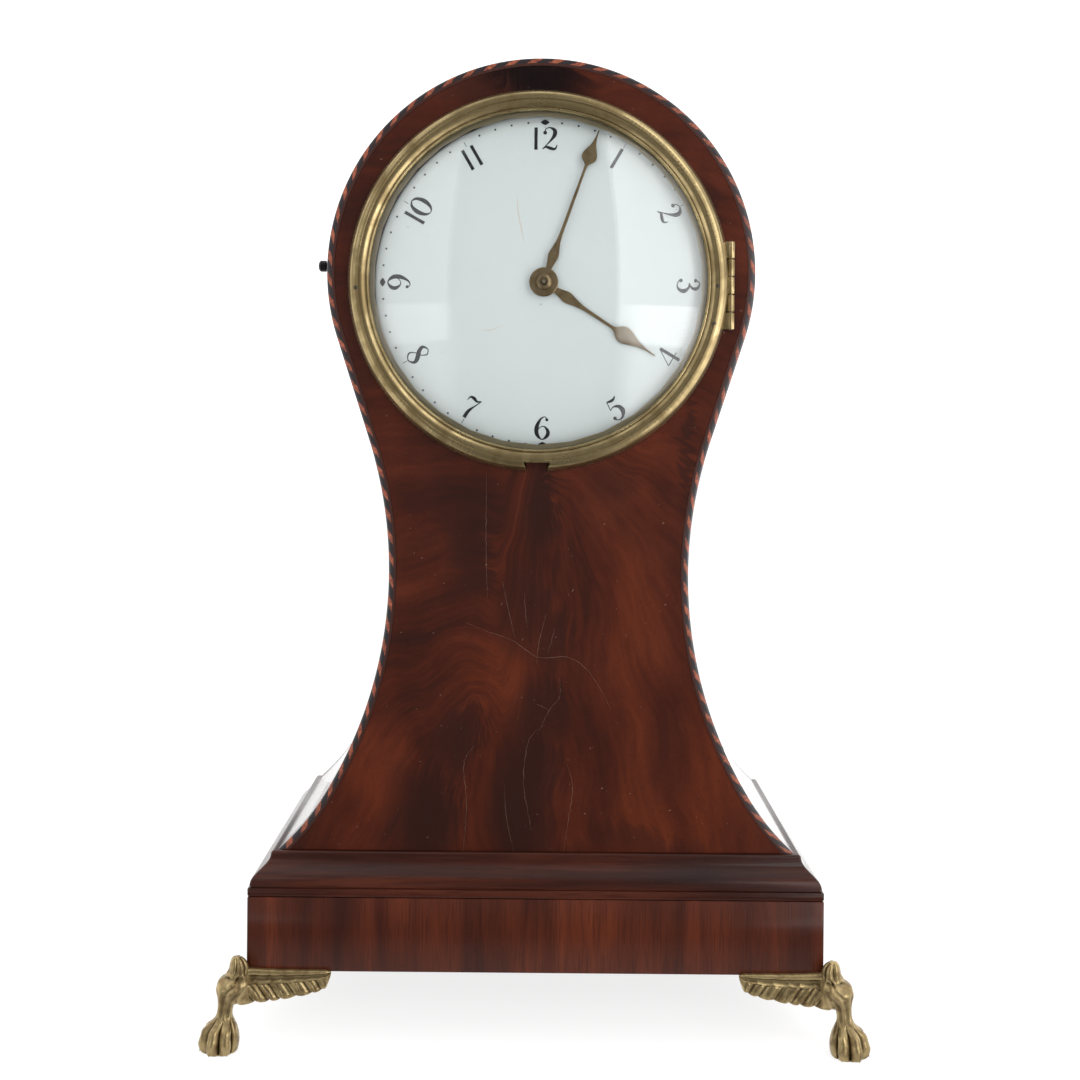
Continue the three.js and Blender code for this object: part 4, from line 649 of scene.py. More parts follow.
class Mesh:
    """Closed shells gathered into one mesh, in millimetres."""

    def __init__(self) -> None:
        """Starts with nothing."""
        self.points: list[np.ndarray] = []
        self.faces: list[list[int]] = []
        self.count = 0

    def shell(self, points: np.ndarray, faces: list[list[int]]) -> "Mesh":
        """Adds one closed shell and turns its faces outwards, by the sign of its volume."""
        volume = 0.0
        for size in {len(face) for face in faces}:
            corners = points[np.array([face for face in faces if len(face) == size])]
            for k in range(1, size - 1):
                cross = np.cross(corners[:, k], corners[:, k + 1])
                volume += float(np.einsum("ij,ij->", corners[:, 0], cross))
        if volume < 0:
            faces = [face[::-1] for face in faces]
        self.points.append(points)
        self.faces += [[i + self.count for i in face] for face in faces]
        self.count += len(points)
        return self

    def loft(self, loops: Sequence[Loop] | np.ndarray, round_trip: bool = False) -> "Mesh":
        """Adds a skin over closed loops of equal counts, from the first loop to the last.

        Args:
            loops: The loops, each an array of points.
            round_trip: True where the last loop leads back to the first, so that no end is capped.
        """
        grid = np.asarray(loops, float)
        rows, columns = grid.shape[:2]
        first = np.arange(rows if round_trip else rows - 1)[:, None] * columns
        step = np.arange(columns)[None, :]
        after = (step + 1) % columns
        above = (first + columns) % (rows * columns)
        quads = np.stack((first + step, first + after, above + after, above + step), axis=-1)
        faces = quads.reshape(-1, 4).tolist()
        if not round_trip:
            faces.append(list(range(columns))[::-1])
            faces.append(list(range((rows - 1) * columns, rows * columns)))
        return self.shell(grid.reshape(-1, 3), faces)

    def plate(
        self,
        outline: Callable[[float], Loop],
        levels: Sequence[tuple[float, float]],
        hole: Callable[[float], Loop] | None = None,
        hole_levels: Sequence[tuple[float, float]] = (),
    ) -> "Mesh":
        """Adds a board whose faces look along Y.

        Args:
            outline: Gives the edge as x and z, moved in by a distance.
            levels: Distances in and depths y, from the front face to the back face.
            hole: Gives a hole's edge, moved out by a distance.
            hole_levels: The same as levels, for the hole's wall, with the same first and last y.
        """
        stacks = [[upright(outline(inset), y) for inset, y in levels]]
        if hole is not None:
            stacks.append([upright(hole(grow), y) for grow, y in hole_levels])
        points, faces, ends = [], [], ([], [])
        start = 0
        for stack in stacks:
            grid = np.array(stack)
            rows, columns = grid.shape[:2]
            low = start + np.arange(rows - 1)[:, None] * columns
            step = np.arange(columns)[None, :]
            after = (step + 1) % columns
            above = low + columns
            quads = np.stack((low + step, low + after, above + after, above + step), axis=-1)
            turned = quads if stack is stacks[0] else quads[..., ::-1]
            faces += turned.reshape(-1, 4).tolist()
            ends[0].append(np.arange(columns) + start)
            ends[1].append(np.arange(columns) + start + (rows - 1) * columns)
            points.append(grid.reshape(-1, 3))
            start += rows * columns
        everything = np.vstack(points)
        for order, loops in zip((1, -1), ends):
            index = np.concatenate(loops)
            ears = tessellate_polygon([[tuple(everything[i]) for i in loop] for loop in loops])
            for ear in ears:
                a, b, c = everything[index[list(ear)]]
                looks = np.cross(b - a, c - a)[1]
                face = index[list(ear)].tolist()
                faces.append(face if looks * order * self.wall_hand(stacks[0]) > 0 else face[::-1])
        return self.shell(everything, faces)

    @staticmethod
    def wall_hand(stack: Sequence[Loop]) -> float:
        """1 where a wall built from these loops wants its front cap to look along +Y, else -1."""
        x, z = stack[0][:, 0], stack[0][:, 2]
        area = float(np.sum(x * np.roll(z, -1) - z * np.roll(x, -1)))
        runs_back = 1.0 if stack[-1][0, 1] > stack[0][0, 1] else -1.0
        return 1.0 if area * runs_back > 0 else -1.0

    @staticmethod
    def around(profile: Loop, centre: Sequence[float], axis: str, steps: int) -> np.ndarray:
        """Copies of a profile of (radius, place along the axis) at even turns round the axis."""
        angles = np.arange(steps) * TURN / steps
        radius, along = profile[:, 0], profile[:, 1]
        first = radius[None, :] * np.cos(angles)[:, None]
        second = radius[None, :] * np.sin(angles)[:, None]
        third = np.broadcast_to(along, first.shape)
        orders = {
            "x": (third, first, second), "y": (first, third, second), "z": (first, second, third)
        }
        return np.stack(orders[axis], axis=-1) + np.asarray(centre)

    def turned(
        self, profile: Loop, centre: Sequence[float], axis: str = "y", steps: int = 96
    ) -> "Mesh":
        """Adds a closed profile of (radius, place along the axis), carried once round the axis.

        Args:
            profile: The closed section. A point on the axis stays there.
            centre: A point on the axis.
            axis: x, y or z.
            steps: Sides of the round.
        """
        return self.loft(self.around(profile, centre, axis, steps), round_trip=True)

    def spun(
        self, profile: Loop, centre: Sequence[float], axis: str = "y", steps: int = 64
    ) -> "Mesh":
        """Adds an open profile carried round the axis, with its end loops closed by flat caps."""
        return self.loft(self.around(profile, centre, axis, steps).transpose(1, 0, 2))

    def piece(
        self,
        name: str,
        finish: str,
        body: Body,
        slot: Slot,
        replaces: Sequence[str] = (),
        uv: np.ndarray | None = None,
        crease: float = 32.0,
    ) -> bpy.types.Object:
        """Makes the mesh an object of the scene that rides on a body.

        Args:
            name: The piece's name.
            finish: Its key in FINISHES.
            body: The body that carries it.
            slot: The record's slot; not used.
            replaces: The solid nodes that it stands for.
            uv: A place on the pattern for each point.
            crease: Faces that meet at more degrees than this keep a sharp edge.
        """
        points = np.vstack(self.points) * MM
        data = bpy.data.meshes.new(name)
        data.from_pydata(points.tolist(), [], self.faces)
        if uv is not None:
            layer = data.uv_layers.new(name="pattern")
            index = np.zeros(len(data.loops), int)
            data.loops.foreach_get("vertex_index", index)
            layer.data.foreach_set("uv", uv[index].astype(np.float32).ravel())
        data.validate()
        data.polygons.foreach_set("use_smooth", np.ones(len(data.polygons), bool))
        data.set_sharp_from_angle(angle=math.radians(crease))
        data.materials.append(dressed(finish))
        made = bpy.data.objects.new(name, data)
        bpy.context.scene.collection.objects.link(made)
        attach(made, body.value)
        if replaces:
            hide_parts(*replaces)
        LOG.info("%s: %d points, %d faces", name, len(points), len(data.polygons))
        return made


def span(node: str) -> tuple[np.ndarray, np.ndarray]:
    """The lowest and highest corner of a solid node, in millimetres."""
    low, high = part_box(node)
    return np.array(low) / MM, np.array(high) / MM


# ---------------------------------------------------------------- case
@dataclass
class CaseForm:
    """The outline of the case: a round head, a straight shoulder, a hollow waist and a flare."""

    head_radius: float = 81.5
    shoulder_angle: float = math.radians(17.93)
    shoulder_length: float = 41.0
    waist_radius: float = 163.4
    waist_turn: float = math.radians(31.7)
    flare_radius: float = 89.0
    flare_end: float = math.radians(48.445)
    wall: float = 6.0

    def __post_init__(self) -> None:
        """Works the arcs' centres up from the foot, as the case is set out."""
        self.foot = span("front_board")[0][2]
        slack = self.waist_radius - self.flare_radius
        t = self.shoulder_angle
        self.flare_z = self.foot + self.flare_radius * math.sin(self.flare_end)
        self.waist_z = self.flare_z + slack * math.sin(self.waist_turn)
        shoulder_x = self.head_radius * math.cos(t) - self.shoulder_length * math.sin(t)
        self.waist_x = shoulder_x + self.waist_radius * math.cos(t)
        self.flare_x = self.waist_x - slack * math.cos(self.waist_turn)
        shoulder_z = self.waist_z + self.waist_radius * math.sin(t)
        self.head_z = shoulder_z + self.shoulder_length * math.cos(t)
        self.head_z += self.head_radius * math.sin(t)

    def head(self, inset: float, steps: int = 96) -> Loop:
        """The head's arc from the right shoulder over the crown to the left shoulder."""
        t = self.shoulder_angle
        return arc(0.0, self.head_z, self.head_radius - inset, -t, math.pi + t, steps)

    def right_side(self, inset: float) -> Loop:
        """The right side from the foot up to the shoulder's top."""
        t, turn = self.shoulder_angle, self.waist_turn
        flare = self.flare_radius + inset
        foot_angle = math.asin((self.flare_z - self.foot) / flare)
        waist = self.waist_radius + inset
        return np.vstack((
            arc(self.flare_x, self.flare_z, flare, math.pi + foot_angle, math.pi + turn, 16),
            arc(self.waist_x, self.waist_z, waist, math.pi + turn, math.pi - t, 48)[1:],
            self.head(inset)[:1],
        ))

    def outline(self, inset: float) -> Loop:
        """The whole outline, moved in by a distance, from the right foot round to the left foot."""
        right = self.right_side(inset)
        left = right[::-1] * (-1, 1)
        return np.vstack((right, self.head(inset)[1:-1], left))


@dataclass
class Casework:
    """The waisted case: front board, stringing, bent shell and back board."""

    form: CaseForm
    band: float = 2.9
    band_depth: float = 2.0
    glue: float = 0.06
    edge: float = 0.3
    crack_half: float = 0.16
    crack_sunk: float = 0.1
    crack_proud: float = 0.035
    dial_clearance: float = 67.6

    # Each crack as places x and z that a smooth line runs through.
    CRACKS = (
        (
            (-27.74, 155.96), (-20.14, 152.92), (-9.50, 149.12), (0.00, 143.04), (11.40, 143.04),
            (18.62, 138.48), (23.94, 130.88), (28.12, 123.28),
        ),
        ((-20.14, 213.34), (-20.14, 187.50), (-19.38, 165.46)),
        ((-13.68, 171.54), (-11.02, 159.38), (-8.74, 149.88)),
        ((-5.32, 167.36), (-4.18, 154.06)),
        ((3.04, 159.38), (0.38, 148.74), (-0.38, 140.38)),
        ((6.46, 154.06), (3.80, 144.56)),
        ((8.36, 135.06), (8.36, 127.84), (4.56, 122.90), (0.00, 113.40)),
        ((-0.38, 125.18), (4.56, 122.90)),
        (
            (3.04, 117.58), (-2.66, 112.26), (-4.56, 103.90), (-4.94, 93.64), (-2.66, 81.10),
            (-1.90, 76.92),
        ),
        ((-23.94, 109.22), (-27.74, 102.00), (-26.60, 86.42), (-27.74, 68.56)),
        ((-12.54, 95.54), (-11.40, 82.24), (-8.36, 68.56)),
        ((11.40, 102.76), (13.68, 93.64), (12.16, 81.10), (10.26, 68.56)),
    )

    def build(self) -> None:
        """Makes and dresses every board of the case."""
        self.front_board()
        self.stringing()
        self.shell()
        self.back_board()
        self.crazing()

    def aperture(self, grow: float) -> Loop:
        """The round opening for the dial, with the catch tongue's slot at its left."""
        dial_low, dial_high = span("dial_enamel")
        centre = (dial_low + dial_high) / 2
        board_low = span("catch_spring_plate")[0]
        tongue_low, tongue_high = span("bezel_catch_tongue")
        radius = self.dial_clearance + grow
        slot_left = board_low[0] + 0.8 - grow
        low, high = tongue_low[2] - 1.0 - grow, tongue_high[2] + 1.0 + grow
        start = math.pi - math.asin((low - centre[2]) / radius)
        end = math.pi - math.asin((high - centre[2]) / radius) + TURN
        ring = arc(centre[0], centre[2], radius, start, end, 128)
        notch = np.array(((slot_left, high), (slot_left, low)))
        return np.vstack((ring, notch))

    def front_board(self) -> None:
        """The veneered board, stepped in at its front edge for the stringing."""
        low, high = span("front_board")
        front, back = low[1], high[1]
        inset = self.band + self.glue
        step = front + self.band_depth + self.glue
        levels = [
            (inset + self.edge / 3, front), (inset, front + self.edge / 3), (inset, step),
            (0.0, step), (0.0, back),
        ]
        rounded = [
            (self.edge, front), (0.0, front + self.edge), (0.0, back - self.edge),
            (self.edge, back),
        ]
        board = Mesh().plate(self.form.outline, levels, self.aperture, rounded)
        board.piece("veneered_front", "veneer", Body.CASE, Slot.VENEER, ["front_board"])

    def stringing(self) -> None:
        """The chequered band, a square section carried round the outline."""
        front = span("edge_stringing")[0][1]
        back = front + self.band_depth
        worn = 0.75
        corners = (
            (0.0, front + worn), (worn * 0.13, front + worn * 0.5),
            (worn * 0.5, front + worn * 0.13), (worn, front), (self.band, front), (self.band, back),
            (0.0, back),
        )
        loops = np.stack([upright(self.form.outline(inset), y) for inset, y in corners], axis=1)
        along = np.linalg.norm(np.diff(self.form.outline(self.band / 2), axis=0), axis=1)
        distance = np.concatenate(((0.0,), np.cumsum(along)))
        across = np.array([inset for inset, _ in corners])
        uv = np.stack(np.broadcast_arrays(distance[:, None], across[None, :]), axis=-1)
        Mesh().loft(loops).piece(
            "chequered_edge",
            "stringing",
            Body.CASE,
            Slot.CHEQUER,
            ["edge_stringing"],
            uv=uv.reshape(-1, 2),
        )

    def shell(self) -> None:
        """The bent sides and head, each a wall between the outline and the same moved in."""
        low, high = span("head_arch")
        soft = 0.2
        for name, line in (
            ("head_arch", self.form.head), ("side_right", self.form.right_side),
            ("side_left", lambda inset: self.form.right_side(inset) * (-1, 1)),
        ):
            corners = (
                (soft, low[1]), (0.0, low[1] + soft), (0.0, high[1] - soft), (soft, high[1]),
                (self.form.wall, high[1]), (self.form.wall, low[1]),
            )
            loops = np.stack([upright(line(inset), y) for inset, y in corners], axis=1)
            Mesh().loft(loops).piece(f"bent_{name}", "side", Body.CASE, Slot.MAHOGANY, [name])

    def back_board(self) -> None:
        """The back board with its arched opening, and its worn rear edge."""
        low, high = span("back_board")
        door = DoorForm()
        levels = [
            (0.2, low[1]), (0.0, low[1] + 0.2), (0.0, high[1] - 0.6), (0.2, high[1] - 0.2),
            (0.6, high[1]),
        ]
        rounded = [(0.2, low[1]), (0.0, low[1] + 0.2), (0.0, high[1] - 0.4), (0.4, high[1])]
        board = Mesh().plate(self.form.outline, levels, door.opening, rounded)
        board.piece("panelled_back", "back", Body.CASE, Slot.MAHOGANY, ["back_board"])

    def crazing(self) -> None:
        """Age cracks in the veneer's polish: thin low ridges along shaky lines. The
        shake is two sines, and a ridge's width is a sine of its length with a ripple on it."""
        front = span("front_board")[0][1]
        lines = Mesh()
        for number, crack in enumerate(self.CRACKS):
            line = smooth_line(crack, 14)
            along = np.linspace(0.0, 1.0, len(line))
            jitter = 0.16 * np.sin(along * 71.0 + number) + 0.1 * np.sin(along * 173.0 + 2 * number)
            line[:, 0] += jitter * np.sin(along * math.pi)
            half = self.crack_half * (0.35 + 0.65 * np.sin(along * math.pi))
            half *= 1 + 0.3 * np.sin(along * 40.0)
            slope = np.gradient(line, axis=0)
            slope /= np.linalg.norm(slope, axis=1)[:, None]
            aside = np.column_stack((-slope[:, 1], slope[:, 0])) * half[:, None]
            foot, crest = front + self.crack_sunk, front - self.crack_proud
            edges = ((line + aside, foot), (line, crest), (line - aside, foot))
            lines.loft(np.stack([upright(edge, y) for edge, y in edges], axis=1))
        lines.piece("veneer_crazing", "crack", Body.CASE, Slot.VENEER)


@dataclass
class Plinth:
    """The base block with its hollow underside, and the ogee moulding on it."""

    corner: float = 0.7
    wall: float = 16.0
    ceiling: float = 6.0
    fillet_setback: float = 0.6
    fillet_height: float = 3.6
    setback: float = 8.0
    ogee_steps: int = 26

    def rectangle(self, inset: float, flush_back: bool = False) -> Loop:
        """The block's plan, moved in, with small round corners; its back can stay flush."""
        low, high = span("base_block")
        x0, x1 = low[0] + inset, high[0] - inset
        y0, y1 = low[1] + inset, high[1] - (0.0 if flush_back else inset)
        r = self.corner
        turns = (
            (x1 - r, y0 + r, -0.5), (x1 - r, y1 - r, 0.0), (x0 + r, y1 - r, 0.5),
            (x0 + r, y0 + r, 1.0),
        )
        return np.vstack([
            arc(x, y, r, start * math.pi, (start + 0.5) * math.pi, 5) for x, y, start in turns
        ])

    def build(self) -> None:
        """Makes the block and the moulding."""
        low, high = span("base_block")
        bottom, top = low[2], high[2]
        roof = top - self.ceiling
        levels = (
            (self.wall, roof), (self.wall, bottom), (0.8, bottom), (0.25, bottom + 0.25),
            (0.0, bottom + 0.8), (0.0, top - 0.5), (0.15, top - 0.15), (0.5, top),
        )
        block = Mesh().loft([level(self.rectangle(inset), z) for inset, z in levels])
        block.piece("frieze_block", "frieze", Body.CASE, Slot.MAHOGANY, ["base_block"])
        loops = [level(self.rectangle(inset, True), z) for inset, z in self.profile()]
        Mesh().loft(loops).piece(
            "ogee_moulding", "moulding", Body.CASE, Slot.MAHOGANY, ["base_moulding"], crease=40.0
        )

    def profile(self) -> list[tuple[float, float]]:
        """The moulding's section: a flat band between two quirks, then an ogee, a round over a
        hollow that is a straight slope less a sine of the same length."""
        low, high = span("base_moulding")
        bottom, top = low[2], high[2]
        quirk = 0.35
        band = [
            (0.45, bottom), (0.1, bottom + 0.25), (0.0, bottom + 0.5),
            (0.0, bottom + self.fillet_height - 0.9), (0.2, bottom + self.fillet_height - 0.55),
            (self.fillet_setback + quirk, bottom + self.fillet_height - 0.35),
            (self.fillet_setback + quirk, bottom + self.fillet_height),
        ]
        rise = top - 0.7 - bottom - self.fillet_height
        run = self.setback - self.fillet_setback - 0.5
        u = np.linspace(0.0, 1.0, self.ogee_steps)
        inset = self.fillet_setback + run * (u - np.sin(TURN * u) / (2.4 * math.pi))
        z = bottom + self.fillet_height + 0.05 + rise * u
        lip = [
            (self.setback - 0.4, top - 0.55), (self.setback - 0.15, top - 0.2),
            (self.setback + 0.2, top),
        ]
        return band + list(zip(inset.tolist(), z.tolist())) + lip


# ---------------------------------------------------------------- feet
@dataclass
class WingedFoot:
    """A cast lion's paw with a spread wing under each edge of the base."""

    toes: int = 4
    toe_pitch: float = math.radians(50)
    paw_out: float = 11.2
    ring_points: int = 120
    rings: int = 110
    wing_length: float = 31.8
    wing_root: float = 6.5
    wing_under: float = 3.2
    wing_proud: float = 1.6
    feathers: float = 6.0
    wing_steps: int = 150
    wing_rows: int = 44

    # Height, distance out from the corner, half-width across and half-width outwards.
    SECTIONS = (
        (0.0, 11.2, 6.1, 6.0),
        (0.5, 11.3, 6.6, 6.5),
        (2.4, 11.2, 6.95, 6.9),
        (5.2, 11.1, 6.95, 6.85),
        (8.2, 10.7, 6.0, 5.9),
        (10.5, 9.9, 4.3, 4.2),
        (12.6, 9.3, 2.95, 2.9),
        (15.0, 8.9, 2.75, 2.7),
        (18.0, 8.3, 3.6, 3.1),
        (20.4, 7.5, 5.6, 3.8),
        (22.4, 6.9, 6.7, 4.3),
        (24.2, 5.9, 6.3, 4.2),
        (25.8, 4.6, 4.6, 3.9),
        (27.4, 3.6, 3.7, 3.3),
        (29.4, 3.4, 3.5, 3.0),
        (31.3, 3.6, 2.7, 2.4),
        (32.5, 3.9, 1.6, 1.5),
    )

    def build(self) -> None:
        """Makes four mirrored feet, each standing for its solid node."""
        for end, sy in (("front", -1), ("rear", 1)):
            for side, sx in (("left", -1), ("right", 1)):
                foot = Mesh()
                hand = np.array((sx, sy, 1.0))
                corner = np.array((*span("base_block")[1][:2], 0.0))
                for loops in (self.leg(), *self.claws(), self.wing(False), self.wing(True)):
                    foot.loft((loops + corner) * hand)
                node = f"foot_{end}_{side}"
                foot.piece(
                    f"paw_{node}", "casting", Body.CASE, Slot.CAST_BRASS, [node], crease=70.0
                )

    @staticmethod
    def outward(out: np.ndarray, across: np.ndarray, z: np.ndarray) -> np.ndarray:
        """Places given along and across the corner's diagonal, as x, y and z from the corner."""
        root = math.sqrt(0.5)
        x, y = (out - across) * root, (out + across) * root
        return np.stack(np.broadcast_arrays(x, y, z), axis=-1)

    def leg(self) -> np.ndarray:
        """The leg and paw: ovals at each height, whose radius swells by a round bump for each toe
        below, sinks in narrow grooves that run up the shin, and swells in leaves at the haunch."""
        sections = smooth_line(self.SECTIONS, 12)
        height = np.linspace(0.0, self.SECTIONS[-1][0], self.rings)
        out, across, deep = (np.interp(height, sections[:, 0], sections[:, k]) for k in (1, 2, 3))
        angle = np.arange(self.ring_points) * TURN / self.ring_points
        lean = np.arctan2(np.sin(angle), np.cos(angle))[None, :]
        z = height[:, None]
        spread = self.toes / 2 * self.toe_pitch
        toed = np.clip((spread + 0.12 - np.abs(lean)) / 0.15, 0.0, 1.0)
        ridge = np.abs(np.sin(np.pi * (lean + spread) / self.toe_pitch))
        groove = 1.0 - ridge**0.55
        # The paw: round toes with a groove between two, a knuckle on each and a nose below it.
        low = np.clip((13.5 - z) / 5.0, 0.0, 1.0) * np.clip((z + 0.4) / 1.2, 0.35, 1.0)
        swell = 1.0 + toed * low * (0.07 * ridge - 0.30 * groove)
        knuckle = np.exp(-(((z - 8.3) / 1.5) ** 2)) * toed * 0.09 * ridge
        toe_nose = np.exp(-(((z - 3.2) / 1.9) ** 2)) * toed * 0.07 * ridge
        # The shin's cords, the haunch's lobes with a fold, and the crest's leaves.
        cords = np.clip((z - 10.5) / 2.0, 0.0, 1.0) * np.clip((23.0 - z) / 3.0, 0.0, 1.0)
        swell += knuckle + toe_nose + cords * 0.10 * np.cos(lean * 7.2) * (np.abs(lean) < 1.9)
        haunch = np.clip((z - 20.5) / 2.0, 0.0, 1.0) * np.clip((28.0 - z) / 2.0, 0.0, 1.0)
        swell += haunch * 0.10 * np.cos(lean * 5.0 + (z - 20.0) * 0.5)
        fold = np.abs(lean) - (z - 16.5) / 8.5
        swell -= haunch * 0.16 * np.exp(-((fold / 0.16) ** 2)) * (np.abs(lean) < 1.6)
        leaf = np.clip((z - 25.4) / 1.2, 0.0, 1.0)
        swell += leaf * (0.34 * np.abs(np.cos(lean * 2.6)) ** 0.7 - 0.22)
        swell -= np.exp(-(((z - 25.6) / 0.55) ** 2)) * 0.16 * (np.abs(lean) < 1.7)
        u = out[:, None] + deep[:, None] * swell * np.cos(angle)[None, :]
        v = across[:, None] * swell * np.sin(angle)[None, :]
        return self.clear_of_block(self.outward(u, v, z))

    @staticmethod
    def clear_of_block(points: np.ndarray) -> np.ndarray:
        """Draws what would lie inside the block, above its bottom, out to proud of its faces."""
        proud = 0.12
        x, y, z = points[..., 0], points[..., 1], points[..., 2]
        inside = (z > span("base_block")[0][2] - 0.15) & (x < proud) & (y < proud)
        nearer_x = x > y
        points[..., 0] = np.where(inside & nearer_x, proud, x)
        points[..., 1] = np.where(inside & ~nearer_x, proud, y)
        return points

    def claws(self) -> list[np.ndarray]:
        """A short hooked claw at each toe's nose: rings that shrink along a bend to the ground."""
        made = []
        steps, sides = 12, 14
        t = np.linspace(0.0, 1.0, steps)
        around = np.arange(sides) * TURN / sides
        for toe in range(self.toes):
            heading = (toe - (self.toes - 1) / 2) * self.toe_pitch
            reach = 5.9 + 1.75 * np.sin(t * 1.25)
            height = 4.0 - 3.55 * t**1.5
            radius = 1.15 * np.sqrt(np.clip(1.0 - t**2.2, 0.015, 1.0))
            wide = radius[:, None] * np.cos(around)
            side = reach[:, None] * math.sin(heading) + wide * math.cos(heading)
            front = reach[:, None] * math.cos(heading) - wide * math.sin(heading)
            z = np.maximum(height[:, None] + radius[:, None] * np.sin(around), 0.02)
            made.append(self.outward(self.paw_out + front, side, z))
        return made

    def wing(self, swapped: bool) -> np.ndarray:
        """One wing, as loops from its root to its tip.

        With s the share of its length and t the share of its height, the face stands proud by a rim
        above, a hollow below the rim, and below that feathers: a saw of s and t that sweeps to the
        tip as it falls. The lower edge dips under each feather, and the root swings out to the leg.

        Args:
            swapped: False for the wing under the end face, True for the one under the side face.
        """
        bottom = span("base_block")[0][2]
        s = np.linspace(0.0, 1.0, self.wing_steps)[:, None]
        t = np.linspace(0.0, 1.0, self.wing_rows)[None, :]
        along = -self.wing_root + (self.wing_length + self.wing_root) * s
        open_tip = np.sqrt(np.clip(1.0 - s, 0.0, 1.0))
        phase = self.feathers * s**0.9 + 0.16 * np.sin(14.0 * s + 3.0 * t)
        phase = phase - 2.0 * (1.0 - t) * open_tip + 2.0
        teeth = np.abs(np.sin(np.pi * phase[:, :1])) ** 0.6
        closing = np.clip((1.0 - s) / 0.05, 0.0, 1.0) ** 0.5
        upper = bottom + 1.0 * closing + 1.9 * np.exp(-s / 0.2)
        upper -= 8.5 * np.clip(-along / self.wing_root, 0.0, 1.0) ** 1.5
        depth = 2.4 + 10.4 * np.clip(1.0 - s, 0.0, 1.0) ** 0.38
        lower = bottom - depth * closing * (1.0 - 0.085 * (1.0 - teeth)) - 0.1
        lower += 2.6 * np.exp(-((s / 0.09) ** 2))
        z = lower + (upper - lower) * t
        # The relief from the feathers at the bottom over the second band to the rim at the top.
        saw = phase - np.floor(phase)
        feather = np.sin(np.pi * saw**0.55) ** 0.7
        barbs = 0.06 * np.cos(TURN * 3 * saw)
        rim = np.sqrt(np.clip(1 - ((t - 0.895) / 0.105) ** 2, 0.0, 1.0))
        second = np.exp(-(((t - 0.60) / 0.045) ** 2)) * 0.5
        lowered = np.clip((0.60 - t) / 0.08, 0.0, 1.0)
        fringe = np.exp(-(((t - 0.16) / 0.07) ** 2)) * 0.22 * teeth
        relief = 0.22 + 0.78 * rim + second + lowered * (0.75 * feather + barbs) + fringe
        edge = np.minimum(np.clip(t / 0.05, 0.0, 1.0), np.clip((1 - t) / 0.03, 0.0, 1.0)) ** 0.5
        # The root's swing out to the leg, which also carries the back along.
        reach = 5.2 * np.exp(-(((along + self.wing_root) / 4.6) ** 2))
        proud = 0.15 + self.wing_proud * relief * edge * closing * (0.8 + 0.2 * (1 - s)) + reach
        face = np.stack(np.broadcast_arrays(along, proud, z), axis=-1)
        behind = reach[:, 0] * (along[:, 0] < 0.0)
        inward = -self.wing_under * (1 - 0.75 * s[:, 0]) * closing[:, 0] + 0.05 + behind
        shelf = np.full(len(s), 0.12) + behind
        ledge = bottom - 0.15
        back = np.stack(
            (
                np.column_stack((along[:, 0], shelf, upper[:, 0])),
                np.column_stack((along[:, 0], shelf, np.minimum(upper[:, 0], ledge + 0.1))),
                np.column_stack((along[:, 0], inward, np.minimum(upper[:, 0], ledge))),
                np.column_stack((along[:, 0], inward, np.minimum(lower[:, 0] + 0.6, ledge))),
            ),
            axis=1,
        )
        loops = np.concatenate((face, back), axis=1)
        distance, proud_by, height = -loops[..., 0], loops[..., 1], loops[..., 2]
        order = (proud_by, distance, height) if swapped else (distance, proud_by, height)
        return np.stack(order, axis=-1)


